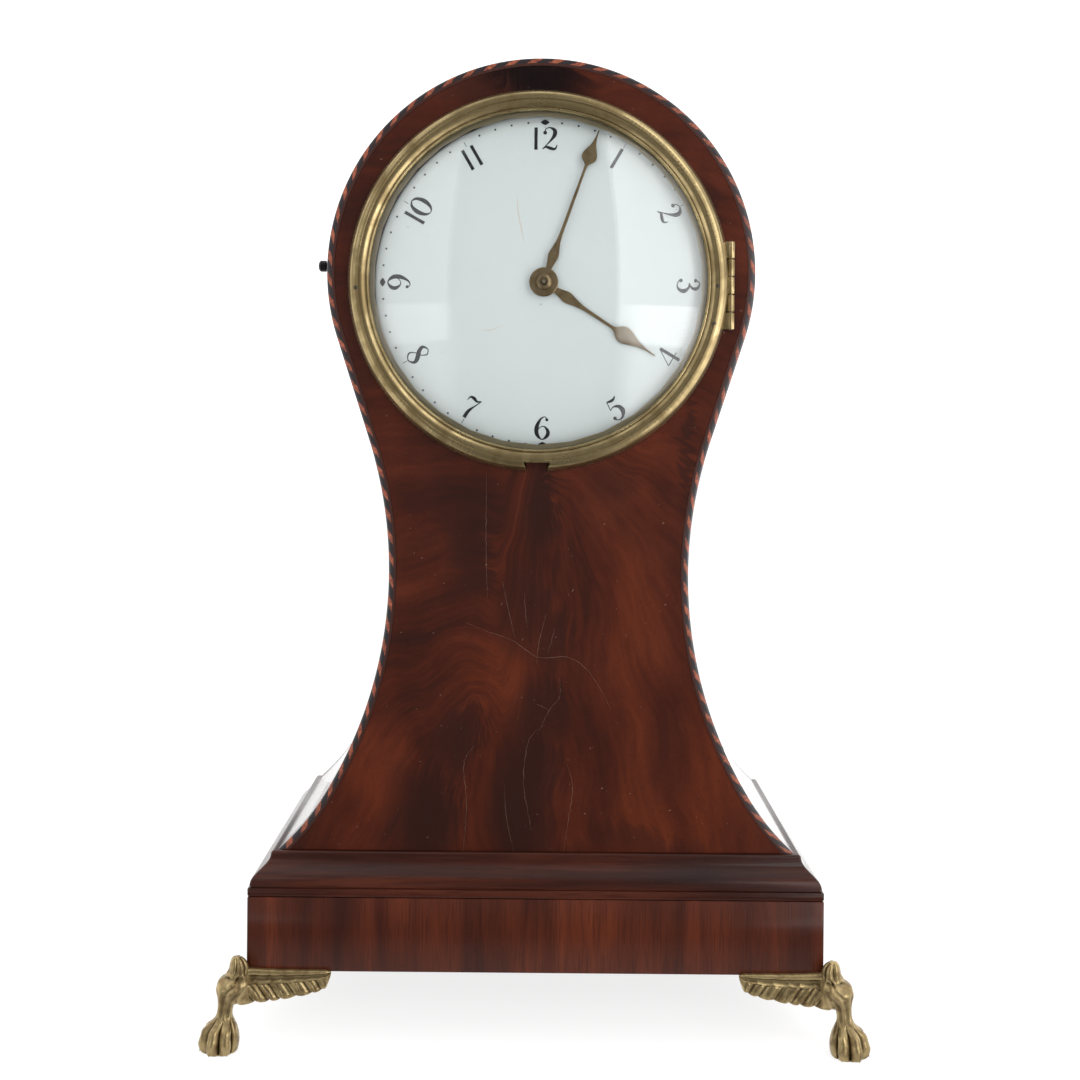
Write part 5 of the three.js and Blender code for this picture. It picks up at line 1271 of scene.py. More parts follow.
# ---------------------------------------------------------------- bezel
@dataclass
class BezelWork:
    """The hinged brass bezel with its domed glass."""

    solid_radius: float = 71.6
    radius: float = 72.35
    aperture: float = 63.9
    rebate: float = 65.4
    rebate_depth: float = 4.0
    teeth: int = 260
    notch_outer: float = 3.65
    notch_inner: float = 5.0
    notch_depth: float = 3.6
    knuckles: int = 5
    knuckle_radius: float = 1.5
    knuckle_bore: float = 0.8
    knuckle_gap: float = 0.15
    leaf_half: float = 0.55
    leaf_pitch: float = 6.72
    glass_rise: float = 12.0
    glass_wall: float = 1.5

    def __post_init__(self) -> None:
        """Takes the ring's centre and the hinge's line from the frame."""
        low, high = span("bezel_ring")
        self.back = high[1]
        self.x = low[0] + self.solid_radius
        self.z = high[2] - self.solid_radius
        pin_low, pin_high = span("bezel_hinge_pin")
        self.hinge = (pin_low + pin_high) / 2
        self.hinge_low, self.hinge_high = pin_low[2], pin_high[2]
        self.pitch = (self.hinge_high - self.hinge_low) / self.knuckles

    def build(self) -> None:
        """Makes the ring with its knuckles, the case's hinge leaf, the glass and the worn marks."""
        self.ring()
        self.case_leaf()
        self.glass()
        self.marks()

    def profile(self) -> Loop:
        """The ring's section as radius and height above its back: a milled edge, a broad round, a
        low round band and a fine inner bead, with quirks between them."""

        def swell(a: tuple[float, float], b: tuple[float, float], rise: float, steps: int) -> Loop:
            """An arch from a to b that stands out to the left of the way by a sine."""
            start, end = np.array(a), np.array(b)
            t = np.linspace(0.0, 1.0, steps + 1)[:, None]
            way = (end - start) / np.linalg.norm(end - start)
            out = np.array((way[1], -way[0]))
            return start + (end - start) * t + out * rise * np.sin(math.pi * t)

        outer, inner = self.radius, self.aperture
        return np.vstack((
            ((outer, 0.0), (outer, 0.45), (outer, 0.9)),
            swell((outer, 1.0), (outer - 0.9, 4.1), 0.1, 6),
            swell((outer - 0.95, 4.2), (outer - 4.1, 6.45), 0.72, 14),
            ((outer - 4.2, 6.1),),
            swell((outer - 4.3, 6.05), (outer - 7.05, 5.25), 0.3, 9),
            ((outer - 7.15, 4.85),),
            swell((outer - 7.25, 4.8), (inner + 0.15, 4.5), 0.4, 7),
            ((inner, 4.3), (inner, self.rebate_depth)),
            ((self.rebate, self.rebate_depth), (self.rebate, 0.0)),
        ))

    def ring(self) -> None:
        """The ring, carried round from one side of the notch to the other and across it.

        A column of the section inside the notch is pushed in to the notch's floor. The two columns
        at its sides follow the dovetail's slanted walls. The edge, the outer round and the inner
        bead are milled by cosines. The ring is cut back beside the case's knuckles."""
        section = self.profile()
        r, h = section[:, 0][None, :], section[:, 1][None, :]
        floor = self.radius - self.notch_depth
        side = math.asin(self.notch_inner / floor)
        outside = np.linspace(side, TURN - side, 1100)
        inside = np.linspace(-side, side, 9)
        angle = np.concatenate((outside, inside))[:, None]
        radius = np.broadcast_to(r, (len(angle), r.shape[1])).copy()
        milled = (h > 0.2) & (h < 4.6) & (r > self.radius - 1.2)
        radius -= np.where(milled, 0.09 * (0.5 + 0.5 * np.cos(self.teeth * angle)), 0.0)
        hatch = (r < self.radius - 1.2) & (r > self.radius - 4.15) & (h < 6.5)
        raised = np.where(hatch, 0.022 * (0.5 + 0.5 * np.cos(self.teeth * angle)), 0.0)
        bead = (r < self.aperture + 1.2) & (r > self.aperture + 0.14) & (h > 4.4)
        raised += np.where(bead, 0.07 * (0.5 + 0.5 * np.cos(220 * angle)), 0.0)
        x = radius * np.sin(angle)
        z = -radius * np.cos(angle)
        in_notch = np.arange(len(angle))[:, None] >= len(outside)
        flat = floor / np.cos(np.where(in_notch, angle, 0.0))
        deep = np.where(in_notch, np.minimum(radius, flat), radius)
        x = np.where(in_notch, deep * np.sin(angle), x)
        z = np.where(in_notch, -deep * np.cos(angle), z)
        depth = np.clip(self.radius - radius, 0.0, self.notch_depth)
        wall = self.notch_outer + (self.notch_inner - self.notch_outer) * depth / self.notch_depth
        for column, hand in ((0, 1.0), (len(outside) - 1, -1.0)):
            cut = radius[column] > floor
            x[column] = np.where(cut, hand * wall[column], x[column])
            z[column] = np.where(cut, -np.sqrt(radius[column] ** 2 - wall[column] ** 2), z[column])
        x, y, z = self.x + x, self.back - (h + raised), self.z + z
        near = np.abs(x - self.hinge[0]) < 3.0
        room = (self.knuckle_radius + 0.25) ** 2 - (y - self.hinge[1]) ** 2
        limit = self.hinge[0] - np.sqrt(np.clip(room, 0.75**2, None))
        place = np.floor((z - self.hinge_low) / self.pitch)
        odd = (np.abs(place - 1) < 0.5) | (np.abs(place - 3) < 0.5)
        x = np.where(near & odd, np.minimum(x, limit), x)
        ring = Mesh().loft(np.stack(np.broadcast_arrays(x, y, z), axis=-1), round_trip=True)
        for k in range(0, self.knuckles, 2):
            self.knuckle(ring, k)
            self.web(ring, k)
        ring.piece(
            "turned_bezel", "bezel", Body.BEZEL, Slot.CAST_BRASS, ["bezel_ring"], crease=50.0
        )

    def knuckle(self, mesh: Mesh, k: int) -> None:
        """Adds one barrel of the hinge, bored for the pin, with soft end edges."""
        low = self.hinge_low + k * self.pitch + self.knuckle_gap
        high = low + self.pitch - 2 * self.knuckle_gap
        r, c, bore = self.knuckle_radius, 0.25, self.knuckle_bore
        foot = ((bore, low), (r - c, low), (r, low + c))
        tube = np.array((*foot, (r, high - c), (r - c, high), (bore, high)))
        mesh.turned(tube, (self.hinge[0], self.hinge[1], 0.0), "z", 32)

    def web(self, mesh: Mesh, k: int) -> None:
        """Adds the arm that joins a knuckle to the ring, which swells towards the ring."""
        low = self.hinge_low + k * self.pitch + self.knuckle_gap + 0.1
        high = low + self.pitch - 2 * self.knuckle_gap - 0.2
        start, end = self.x + self.radius - 3.4, self.hinge[0] - self.knuckle_bore - 0.05
        share = np.linspace(0.0, 1.0, 10)
        loops = []
        for t in share.tolist():
            x = start + (end - start) * t
            half = 1.35 - 0.45 * math.sin(math.pi * t) ** 0.5 * (1 - t)
            y0, y1 = self.hinge[1] - half + 0.1, self.hinge[1] + half
            c = 0.25
            section = (
                (y0, low + c), (y0 + c, low), (y1 - c, low), (y1, low + c), (y1, high - c),
                (y1 - c, high), (y0 + c, high), (y0, high - c),
            )
            loops.append([(x, y, z) for y, z in section])
        mesh.loft(loops)

    def case_leaf(self) -> None:
        """The hinge's fixed leaf, let into the board's edge, with its two knuckles."""
        high = span("bezel_hinge_case_leaf")[1]
        leaf = Mesh()
        x0, x1 = self.hinge[0] - self.leaf_half, self.hinge[0] + self.leaf_half
        front = span("front_board")[0][1]
        strip = (self.hinge_low, self.hinge_high, front + 0.1, high[1])
        tabs = []
        for k in (1, 3):
            start, end = (self.hinge_low + n * self.leaf_pitch for n in (k, k + 1))
            tabs.append((start + 0.3, end - 0.3, self.hinge[1] + 0.9, front + 0.6))
        c = 0.12
        for z0, z1, y0, y1 in (strip, *tabs):
            section = ((x0, y0 + c), (x0 + c, y0), (x1 - c, y0), (x1, y0 + c), (x1, y1), (x0, y1))
            leaf.loft([[(x, y, z) for x, y in section] for z in (z0, z0 + 0.05, z1 - 0.05, z1)])
        for k in range(1, self.knuckles, 2):
            self.knuckle(leaf, k)
        leaf.piece("hinge_case_leaf", "bezel", Body.CASE, Slot.BRASS, ["bezel_hinge_case_leaf"])

    def glass(self) -> None:
        """The domed glass: a paraboloid of revolution that meets a flat rim in the rebate."""
        front = self.back - self.rebate_depth + 0.1
        radius = self.aperture - 0.1
        sheet = self.rebate - 0.5
        wall = self.glass_wall
        r = np.linspace(1.0, 0.0, 30)[:-1] * radius
        dome = self.glass_rise * (1 - (r / radius) ** 2)
        outer = np.column_stack((r, front - dome))
        inner = np.column_stack((r * (1 - wall / radius), front + wall - dome))[::-1]
        rim = np.array(((sheet, front), (sheet, front + wall)))
        sheet_profile = np.vstack((outer[::-1], rim, inner[::-1]))
        Mesh().spun(sheet_profile, (self.x, 0.0, self.z), steps=128).piece(
            "domed_glass", "glass", Body.BEZEL, Slot.GLASS, ["bezel_glass"], crease=40.0
        )

    def marks(self) -> None:
        """Dark rivet heads in the ring: at nine o'clock and by the hinge."""
        rivets = Mesh()
        for degrees, out, size in ((183.0, 3.6, 0.8), (-1.5, 5.0, 0.7), (-13.5, 4.4, 0.75)):
            turn = math.radians(degrees)
            radius = self.radius - out
            x, z = self.x + radius * math.cos(turn), self.z + radius * math.sin(turn)
            top = self.back - 6.75
            head = ((size, 2.2), (size, 0.12), (size * 0.7, -0.02), (0.05, -0.1))
            rivets.spun(np.array(head) + (0.0, top), (x, 0.0, z), steps=20)
        rivets.piece("bezel_rivets", "shadow", Body.BEZEL, Slot.CAST_BRASS)


# ---------------------------------------------------------------- dial and hands
Stroke = Sequence[tuple[float, float, float]]

# Each numeral as pen strokes on a square one unit high: x, y and half the stroke's width.
# A single point is a round terminal.
NUMERALS: dict[str, Sequence[Stroke]] = {
    "0": (
        (
            (0.3, 1.0, 0.022), (0.5, 0.85, 0.06), (0.58, 0.5, 0.095), (0.5, 0.15, 0.06),
            (0.3, 0.0, 0.022), (0.1, 0.15, 0.06), (0.02, 0.5, 0.095), (0.1, 0.85, 0.06),
            (0.3, 1.0, 0.022),
        ),
    ),
    "1": (
        ((0.1, 0.0, 0.075), (0.1, 0.5, 0.07), (0.1, 1.0, 0.075)),
    ),
    "2": (
        ((0.13, 0.77, 0.085),),
        (
            (0.13, 0.8, 0.03), (0.16, 0.93, 0.022), (0.34, 1.0, 0.03), (0.54, 0.88, 0.085),
            (0.55, 0.68, 0.09), (0.38, 0.42, 0.045), (0.16, 0.18, 0.022), (0.02, 0.02, 0.018),
        ),
        (
            (0.02, 0.03, 0.02), (0.17, 0.13, 0.05), (0.36, 0.07, 0.075), (0.56, 0.04, 0.05),
            (0.66, 0.22, 0.018),
        ),
    ),
    "3": (
        ((0.13, 0.82, 0.075),),
        (
            (0.13, 0.85, 0.03), (0.2, 0.97, 0.022), (0.36, 0.98, 0.04), (0.5, 0.82, 0.075),
            (0.42, 0.62, 0.05), (0.24, 0.54, 0.02),
        ),
        (
            (0.24, 0.54, 0.02), (0.46, 0.5, 0.05), (0.6, 0.28, 0.095), (0.5, 0.06, 0.055),
            (0.3, 0.0, 0.025), (0.12, 0.1, 0.03),
        ),
        ((0.13, 0.17, 0.08),),
    ),
    "4": (
        ((0.44, 1.0, 0.02), (0.22, 0.65, 0.02), (0.0, 0.29, 0.02)),
        ((0.0, 0.29, 0.022), (0.34, 0.29, 0.022), (0.68, 0.29, 0.022)),
        ((0.46, 0.0, 0.07), (0.46, 0.5, 0.07), (0.46, 1.0, 0.07)),
    ),
    "5": (
        ((0.14, 0.95, 0.02), (0.3, 0.9, 0.06), (0.46, 0.92, 0.055), (0.58, 1.02, 0.015)),
        ((0.14, 0.95, 0.02), (0.13, 0.75, 0.018), (0.11, 0.54, 0.018)),
        (
            (0.11, 0.54, 0.018), (0.28, 0.62, 0.025), (0.5, 0.54, 0.075), (0.59, 0.3, 0.1),
            (0.47, 0.07, 0.055), (0.28, 0.0, 0.025), (0.12, 0.08, 0.025),
        ),
        ((0.12, 0.15, 0.08),),
    ),
    "6": (
        ((0.5, 0.86, 0.07),),
        (
            (0.5, 0.9, 0.025), (0.4, 0.99, 0.022), (0.22, 0.88, 0.045), (0.06, 0.55, 0.09),
            (0.07, 0.22, 0.085), (0.28, 0.0, 0.028), (0.5, 0.14, 0.075), (0.55, 0.34, 0.08),
            (0.42, 0.54, 0.035), (0.26, 0.56, 0.02), (0.12, 0.44, 0.02),
        ),
    ),
    "7": (
        (
            (0.02, 0.74, 0.015), (0.08, 0.93, 0.04), (0.24, 0.95, 0.075), (0.42, 0.89, 0.05),
            (0.6, 0.99, 0.018),
        ),
        ((0.6, 0.99, 0.018), (0.44, 0.66, 0.03), (0.3, 0.34, 0.07), (0.27, 0.0, 0.085)),
    ),
    "8": (
        (
            (0.52, 0.86, 0.03), (0.34, 1.0, 0.025), (0.13, 0.86, 0.06), (0.2, 0.64, 0.09),
            (0.42, 0.42, 0.1), (0.53, 0.2, 0.065), (0.32, 0.0, 0.025), (0.07, 0.17, 0.035),
            (0.17, 0.42, 0.022), (0.42, 0.64, 0.022), (0.52, 0.86, 0.03),
        ),
    ),
}
# The nine is the six turned half round.
NUMERALS["9"] = tuple(
    tuple((0.6 - x, 1.0 - y, w) for x, y, w in stroke) for stroke in NUMERALS["6"]
)
NUMERAL_WIDTH = {"1": 0.24, "4": 0.68}


@dataclass
class DialWork:
    """The convex enamel dial with its painted numerals, minute dots and quarter marks."""

    rise: float = 5.5
    wall: float = 1.6
    hole: float = 4.0
    numeral_circle: float = 55.2
    numeral_height: float = 8.7
    dot_circle: float = 61.6
    dot_radius: float = 0.42
    tick_from: float = 60.0
    tick_to: float = 62.0
    tick_half: float = 0.12
    lozenge: Place = (1.7, 1.1)
    lozenge_pinch: float = 0.62
    paint: float = 0.04
    buried: float = 0.25

    def __post_init__(self) -> None:
        """Takes the dial's centre and rim from the frame, and gives it a set radius."""
        low, high = span("dial_enamel")
        self.x, self.z = (low[0] + high[0]) / 2, (low[2] + high[2]) / 2
        self.radius = 64.5
        self.rim = high[1] - self.wall

    def face(self, x: np.ndarray, z: np.ndarray) -> np.ndarray:
        """The face's depth at a place from its centre: the rim less a paraboloid."""
        return self.rim - self.rise * (1 - (x**2 + z**2) / self.radius**2)

    def build(self) -> None:
        """Makes the enamel, the painting and two hairline cracks."""
        r = np.linspace(self.hole, self.radius, 48)
        front = np.column_stack((r, self.rim - self.rise * (1 - (r / self.radius) ** 2)))
        front[-1] += (-0.25, 0.05)
        edge = np.array(((self.radius, self.rim + 0.35), (self.radius, self.rim + self.wall)))
        back = front[:-1][::-1] + (0.0, self.wall)
        profile = np.vstack((front, edge, back))
        Mesh().turned(profile, (self.x, 0.0, self.z), steps=160).piece(
            "enamel_face", "enamel", Body.CASE, Slot.ENAMEL, ["dial_enamel"], crease=45.0
        )
        painting = Mesh()
        self.numerals(painting)
        self.minutes(painting)
        painting.piece("dial_painting", "black", Body.CASE, Slot.ENAMEL)
        self.hairlines()

    def patch(self, mesh: Mesh, outline: Loop) -> None:
        """Adds a painted patch of this outline, curved as the face is and a hair thick."""
        face = self.face(outline[:, 0], outline[:, 1])
        front = np.column_stack((outline[:, 0] + self.x, face - self.paint, outline[:, 1] + self.z))
        mesh.loft((front, front + (0.0, self.buried, 0.0)))

    def stroke(self, mesh: Mesh, line: np.ndarray) -> None:
        """Adds a painted line whose rows are x, z and half-width."""
        slope = np.gradient(line[:, :2], axis=0)
        slope /= np.maximum(np.linalg.norm(slope, axis=1), 1e-6)[:, None]
        aside = np.column_stack((-slope[:, 1], slope[:, 0])) * line[:, 2:3]
        left, right = line[:, :2] + aside, line[:, :2] - aside
        sections = []
        lifts = (-self.paint, -self.paint, self.buried, self.buried)
        for edge, lift in zip((left, right, right, left), lifts):
            y = self.face(edge[:, 0], edge[:, 1]) + lift
            sections.append(np.column_stack((edge[:, 0] + self.x, y, edge[:, 1] + self.z)))
        mesh.loft(np.stack(sections, axis=1))

    def numerals(self, mesh: Mesh) -> None:
        """Sets the twelve hours round the dial. The upper seven have their heads outwards, and the
        lower five stand the other way up."""
        round_disc = arc(0.0, 0.0, 1.0, 0.0, TURN, 18)[:-1]
        for hour in range(1, 13):
            text = str(hour)
            heading = TURN * hour / 12
            turned = heading + (math.pi if 4 <= hour <= 8 else 0.0)
            widths = [NUMERAL_WIDTH.get(c, 0.62) for c in text]
            gap = 0.2 if text == "11" else 0.13
            left = -(sum(widths) + gap * (len(text) - 1)) / 2
            for character, width in zip(text, widths):
                for stroke in NUMERALS[character]:
                    points = np.array(stroke, float)
                    points[:, 0] += left
                    points[:, 1] -= 0.5
                    points *= self.numeral_height
                    if len(points) == 1:
                        mark = round_disc * points[0, 2] + points[0, :2]
                        self.patch(mesh, self.set_out(mark, heading, turned))
                    else:
                        line = smooth_line(points, 7)
                        line[:, 2] = np.maximum(line[:, 2], 0.14)
                        line[:, :2] = self.set_out(line[:, :2], heading, turned)
                        self.stroke(mesh, line)
                left += width + gap

    def set_out(self, marks: Loop, heading: float, turned: float) -> Loop:
        """Turns marks clockwise by an angle and carries them out along an hour's line."""
        c, s = math.cos(turned), math.sin(turned)
        x = marks[:, 0] * c + marks[:, 1] * s
        z = -marks[:, 0] * s + marks[:, 1] * c
        return np.column_stack((
            x + self.numeral_circle * math.sin(heading),
            z + self.numeral_circle * math.cos(heading),
        ))

    def minutes(self, mesh: Mesh) -> None:
        """A dot for each minute, a short line at the hours and a lozenge at the quarters, whose
        edge is a sine and a cosine, each drawn in by a power of its own size."""
        disc = arc(0.0, 0.0, self.dot_radius, 0.0, TURN, 10)[:-1]
        wave = arc(0.0, 0.0, 1.0, 0.0, TURN, 24)[:-1]
        long, wide = self.lozenge
        deep, broad = (wave * np.abs(wave) ** self.lozenge_pinch * (wide, long)).T
        for minute in range(60):
            turn = TURN * minute / 60
            out = np.array((math.sin(turn), math.cos(turn)))
            aside = np.array((out[1], -out[0]))
            if minute % 15 == 0:
                self.patch(mesh, out * (self.dot_circle + deep[:, None]) + aside * broad[:, None])
            elif minute % 5 == 0:
                reach = np.linspace(self.tick_from, self.tick_to, 4)[:, None]
                self.stroke(mesh, np.hstack((out * reach, np.full((4, 1), self.tick_half))))
            else:
                self.patch(mesh, disc + out * self.dot_circle)

    def hairlines(self) -> None:
        """Two faint rust-coloured hairlines in the enamel."""
        lines = Mesh()
        for points in (
            ((-10.5, 34.0), (-10.0, 27.0), (-8.6, 20.0), (-7.6, 15.0)),
            ((-24.5, -18.3), (-20.0, -18.2), (-15.2, -16.2)),
        ):
            line = smooth_line(points, 8)
            taper = 0.13 * np.sin(np.linspace(0.15, math.pi - 0.15, len(line)))
            self.stroke(lines, np.column_stack((line, taper)))
        lines.piece("enamel_hairlines", "hairline", Body.CASE, Slot.ENAMEL)


@dataclass(frozen=True)
class HandShape:
    """One hand: its node and body, the way it points from twelve, and its sizes."""

    node: str
    body: Body
    degrees: float
    length: float
    spade: float
    spade_half: float
    leaf_half: float
    stem_half: float
    hole: float


@dataclass
class HandWork:
    """The spade hands and their collet."""

    thickness: float = 0.7
    boss: float = 5.45
    soft: float = 0.14

    HANDS = (
        HandShape("hour_hand", Body.HOUR, 122.7, 50.6, 19.0, 3.2, 2.2, 0.7, 3.2),
        HandShape("minute_hand", Body.CENTRE, 19.4, 61.7, 14.5, 2.9, 2.0, 0.66, 1.0),
    )

    def build(self, dial: DialWork) -> None:
        """Makes both hands and the collet."""
        for shape in self.HANDS:
            self.hand(dial, shape)
        low, high = span("hand_collet")
        collet = np.array((
            (1.3, high[1]), (3.1, high[1]), (3.1, high[1] - 0.25), (2.95, high[1] - 0.5),
            (2.6, high[1] - 0.8), (2.0, low[1] + 0.08), (1.5, low[1]), (1.3, low[1] + 0.05),
        ))
        Mesh().turned(collet, (dial.x, 0.0, dial.z), steps=64).piece(
            "turned_collet", "hand", Body.CENTRE, Slot.BRASS, ["hand_collet"], crease=50.0
        )

    def sizes(self, shape: HandShape) -> Sequence[Place]:
        """Distances out from the centre and half-widths, from the boss by a leaf, a stem and the
        spade to the tip."""
        boss, spade, stem = self.boss, shape.spade, shape.stem_half
        tail = shape.length - spade
        return (
            (boss * 0.9, stem * 1.5), (boss + 2.2, shape.leaf_half * 0.72),
            (boss + 5.2, shape.leaf_half), (boss + 8.8, shape.leaf_half * 0.62),
            (boss + 13.0, stem * 1.05), ((boss + 13.0 + tail) / 2, stem * 0.86),
            (tail - 1.2, stem * 0.82), (tail + spade * 0.04, stem * 1.5),
            (tail + spade * 0.15, shape.spade_half * 0.86), (tail + spade * 0.27, shape.spade_half),
            (tail + spade * 0.42, shape.spade_half * 0.74),
            (tail + spade * 0.58, shape.spade_half * 0.36), (tail + spade * 0.78, stem * 0.62),
            (shape.length, stem * 0.3),
        )

    def hand(self, dial: DialWork, shape: HandShape) -> None:
        """A hand whose half-width follows a smooth line of sizes.

        Its section is a thin plate with softened front edges, bent back as the dial's face is."""
        front = span(shape.node)[0][1]
        line = smooth_line(self.sizes(shape), 8)
        out, half = line[:, 0], np.maximum(line[:, 1], 0.16)
        bend = front + dial.rise * (out / dial.radius) ** 2
        soft = np.minimum(self.soft, half * 0.6)
        swell = 0.12 * np.clip(half / shape.spade_half, 0.0, 1.0)
        section = (
            (-half, bend + self.soft), (-half + soft, bend), (0 * half, bend - swell),
            (half - soft, bend), (half, bend + self.soft), (half, bend + self.thickness),
            (-half, bend + self.thickness),
        )
        turn = math.radians(shape.degrees)
        c, s = math.cos(turn), math.sin(turn)
        loops = [
            np.column_stack((dial.x + x * c + out * s, y + swell, dial.z - x * s + out * c))
            for x, y in section
        ]
        blade = Mesh().loft(np.stack(loops, axis=1))
        boss = np.array((
            (shape.hole, front), (self.boss - 0.3, front), (self.boss, front + 0.2),
            (self.boss, front + self.thickness), (shape.hole, front + self.thickness),
        ))
        blade.turned(boss, (dial.x, 0.0, dial.z), steps=72)
        blade.piece(
            f"spade_{shape.node}", "hand", shape.body, Slot.BRASS, [shape.node], crease=28.0
        )


# ---------------------------------------------------------------- door, button and movement
class DoorForm:
    """The arched rear door's outline: a flat sill, upright stiles and a half-round head."""

    def __init__(self) -> None:
        """Takes the door's sizes from the frame."""
        low, high = span("rear_door")
        self.half, self.sill, self.top = (high[0] - low[0]) / 2, low[2], high[2]
        self.middle = (high[0] + low[0]) / 2
        self.gap = 0.7

    def outline(self, inset: float) -> Loop:
        """The door's edge, moved in by a distance."""
        half = self.half - inset
        spring = self.top - self.half
        sill = self.sill + inset
        arch = arc(self.middle, spring, half, 0.0, math.pi, 64)
        return np.vstack(((self.middle + half, sill), arch, (self.middle - half, sill)))

    def opening(self, grow: float) -> Loop:
        """The opening that the door closes, moved out by a distance."""
        return self.outline(-self.gap - grow)


class DoorWork:
    """The rear door with its turned knob."""

    def build(self) -> None:
        """Makes the door's board and its knob."""
        low, high = span("rear_door")
        form = DoorForm()
        levels = [
            (0.3, low[1]), (0.0, low[1] + 0.3), (0.0, high[1] - 1.0), (0.3, high[1] - 0.3),
            (1.0, high[1]),
        ]
        Mesh().plate(form.outline, levels).piece(
            "arched_door", "back", Body.DOOR, Slot.MAHOGANY, ["rear_door"]
        )
        low, high = span("door_knob")
        centre = (low + high) / 2
        length = high[1] - low[1]
        radius = (high[0] - low[0]) / 2
        profile = smooth_line(
            (
                (radius * 0.62, 0.0), (radius * 0.6, length * 0.08), (radius * 0.42, length * 0.2),
                (radius * 0.4, length * 0.4), (radius * 0.86, length * 0.58),
                (radius * 0.99, length * 0.74), (radius * 0.8, length * 0.9),
                (radius * 0.4, length * 0.98), (0.05, length * 0.995),
            ),
            6,
        )
        Mesh().spun(profile + (0.0, low[1]), (centre[0], 0.0, centre[2]), steps=48).piece(
            "turned_knob", "bezel", Body.DOOR, Slot.BRASS, ["door_knob"]
        )


@dataclass
class CatchButton:
    """The button in the left side: a domed head on a shank."""

    shank: float = 1.5
    head_length: float = 3.1

    def build(self) -> None:
        """Turns the button in its solid's place."""
        low, high = span("catch_button")
        centre = (low + high) / 2
        head, shank = (high[2] - low[2]) / 2, self.shank
        head_inner = low[0] + self.head_length
        profile = np.array((
            (0.05, low[0]), (head * 0.5, low[0] + 0.12), (head * 0.82, low[0] + 0.45),
            (head, low[0] + 0.95), (head, head_inner - 0.2), (head - 0.2, head_inner),
            (shank, head_inner), (shank, high[0] - 0.4), (shank * 0.6, high[0]),
        ))
        Mesh().spun(profile, (0.0, centre[1], centre[2]), "x", 40).piece(
            "domed_button", "blued", Body.BUTTON, Slot.BLUED_STEEL, ["catch_button"]
        )


def dress_nodes(frame: dict) -> None:
    """Gives every solid node that stays its own finish, by the record's slot and its work."""
    by_slot = {
        "mahogany": "back",
        "flame_veneer": "veneer",
        "carcass": "carcass",
        "chequer": "stringing",
        "cast_brass": "casting",
        "brass": "works",
        "steel": "steel",
        "blued_steel": "blued",
        "enamel": "enamel",
        "glass": "glass",
    }
    for material in frame["record"]["materials"]:
        for node in material.get("nodes", []):
            data = frame["nodes"][node].data
            data.materials.clear()
            data.materials.append(dressed(by_slot[material["slot"]]))
            LOG.info("%s: %s", node, by_slot[material["slot"]])


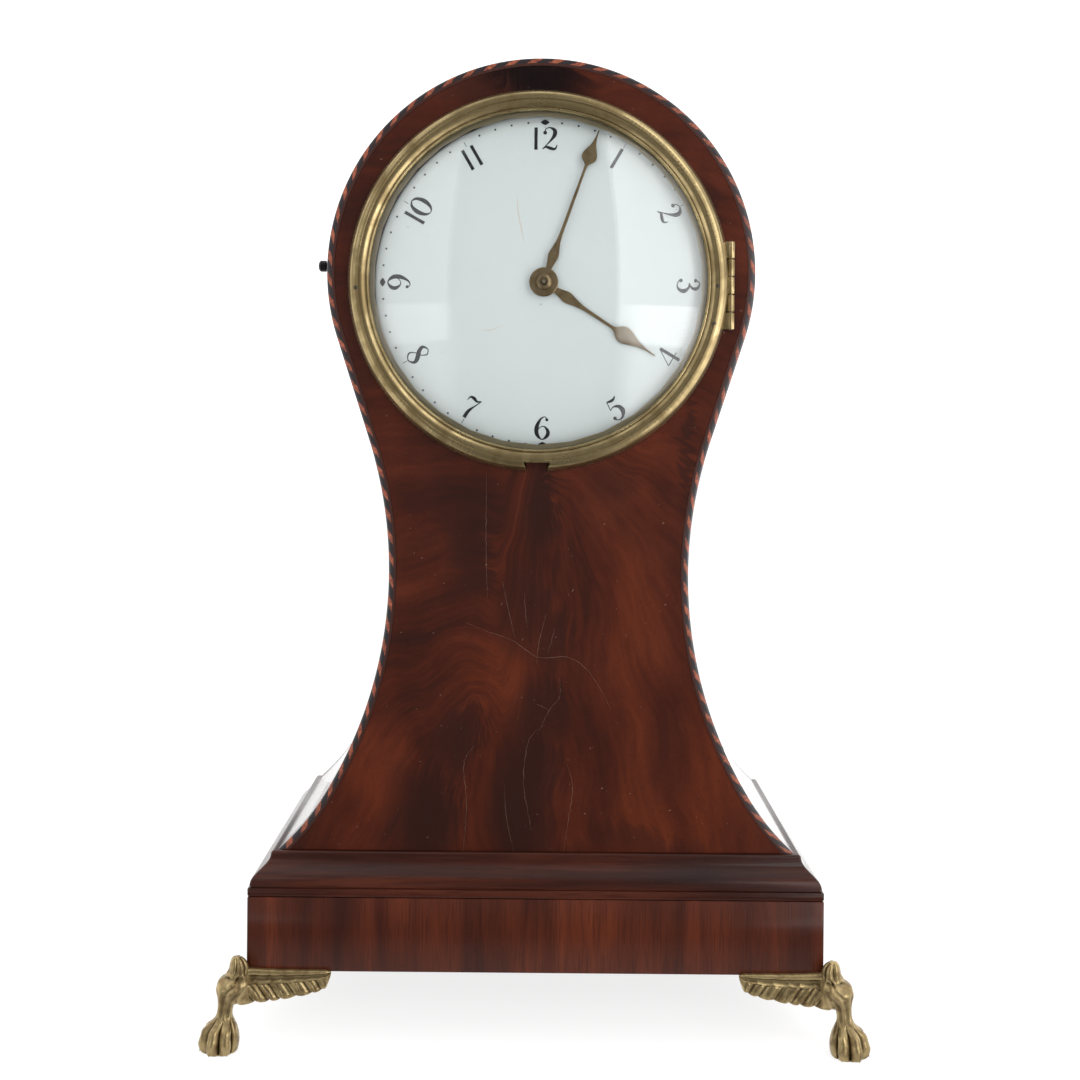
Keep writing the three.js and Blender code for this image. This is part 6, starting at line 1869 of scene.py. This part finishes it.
# ---------------------------------------------------------------- studio
@dataclass
class Studio:
    """The camera, the pale floor, the lamps and a surround that is dark on the camera's side.

    The surround's levels hold below and above the fade, a place along Y of the way it lies."""

    camera_place: tuple[float, float, float] = (0.0, -0.6231, 0.2384)
    pitch: float = -0.16
    roll: float = 0.51
    lens: float = 50.05
    shift: float = -0.12
    floor_half: float = 6.0
    fade: Place = (-0.75, 0.3)
    levels: Place = (0.06, 1.4)

    def build(self) -> None:
        """Sets up everything that isn't part of the clock."""
        scene = bpy.context.scene
        scene.view_settings.view_transform = "Standard"
        self.camera(scene)
        self.floor()
        self.lamps()
        self.surround(scene)

    def camera(self, scene: bpy.types.Scene) -> None:
        """The level view from in front of the dial."""
        data = bpy.data.cameras.new("front_view")
        data.lens = self.lens
        data.shift_y = self.shift
        data.clip_start = 0.01
        made = bpy.data.objects.new("front_view", data)
        made.location = self.camera_place
        turn = Euler((math.radians(90 + self.pitch), 0.0, 0.0)).to_matrix()
        spin = Euler((0.0, 0.0, math.radians(self.roll))).to_matrix()
        made.rotation_euler = (turn @ spin).to_euler()
        scene.collection.objects.link(made)
        scene.camera = made

    def floor(self) -> None:
        """A wide pale plane that keeps the clock's shadow."""
        half = self.floor_half
        data = bpy.data.meshes.new("floor")
        corners = ((-half, -half, 0.0), (half, -half, 0.0), (half, half, 0.0), (-half, half, 0.0))
        data.from_pydata(corners, [], [(0, 1, 2, 3)])
        data.materials.append(dressed("floor"))
        made = bpy.data.objects.new("floor", data)
        bpy.context.scene.collection.objects.link(made)

    def lamps(self) -> None:
        """A tall soft box at the right of the camera, a fainter one at its left, and a wide fill
        behind the camera that polish doesn't mirror."""
        for name, place, size, watts in (
            ("right_soft_box", (0.74, -0.98, 1.0), (0.6, 2.0), 10.5),
            ("left_soft_box", (-0.76, -0.98, 1.0), (0.5, 2.0), 3.5),
            ("front_fill", (0.0, -1.6, 0.62), (1.8, 1.2), 20.0),
        ):
            data = bpy.data.lights.new(name, "AREA")
            data.shape = "RECTANGLE"
            data.size, data.size_y = size
            data.energy = watts
            made = bpy.data.objects.new(name, data)
            made.location = place
            turn = math.atan2(place[0], -place[1])
            made.rotation_euler = (math.radians(90), 0.0, turn)
            made.visible_glossy = name != "front_fill"
            bpy.context.scene.collection.objects.link(made)

    def surround(self, scene: bpy.types.Scene) -> None:
        """White to the eye and behind the clock, and nearly dark on the camera's side."""
        world = bpy.data.worlds.new("surround")
        world.use_nodes = True
        g = Graph(world.node_tree)
        _, ahead, _ = g.split(Term(g, g.coordinates["Generated"]))
        seen = Term(g, g.node("LightPath").outputs["Is Camera Ray"])
        strength = g.math("MAXIMUM", g.window(ahead, *self.fade, *self.levels), seen)
        g.close(g.shader("Background", Color=grey(1.0), Strength=strength), "OutputWorld")
        scene.world = world


def main() -> None:
    """Builds the clock's finishes round the fixed frame, piece by piece."""
    logging.basicConfig(level=logging.INFO, format="%(name)s %(message)s")
    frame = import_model()
    Studio().build()
    dress_nodes(frame)
    Casework(CaseForm()).build()
    Plinth().build()
    WingedFoot().build()
    BezelWork().build()
    dial = DialWork()
    dial.build()
    HandWork().build(dial)
    DoorWork().build()
    CatchButton().build()


if __name__ == "__main__":
    main()
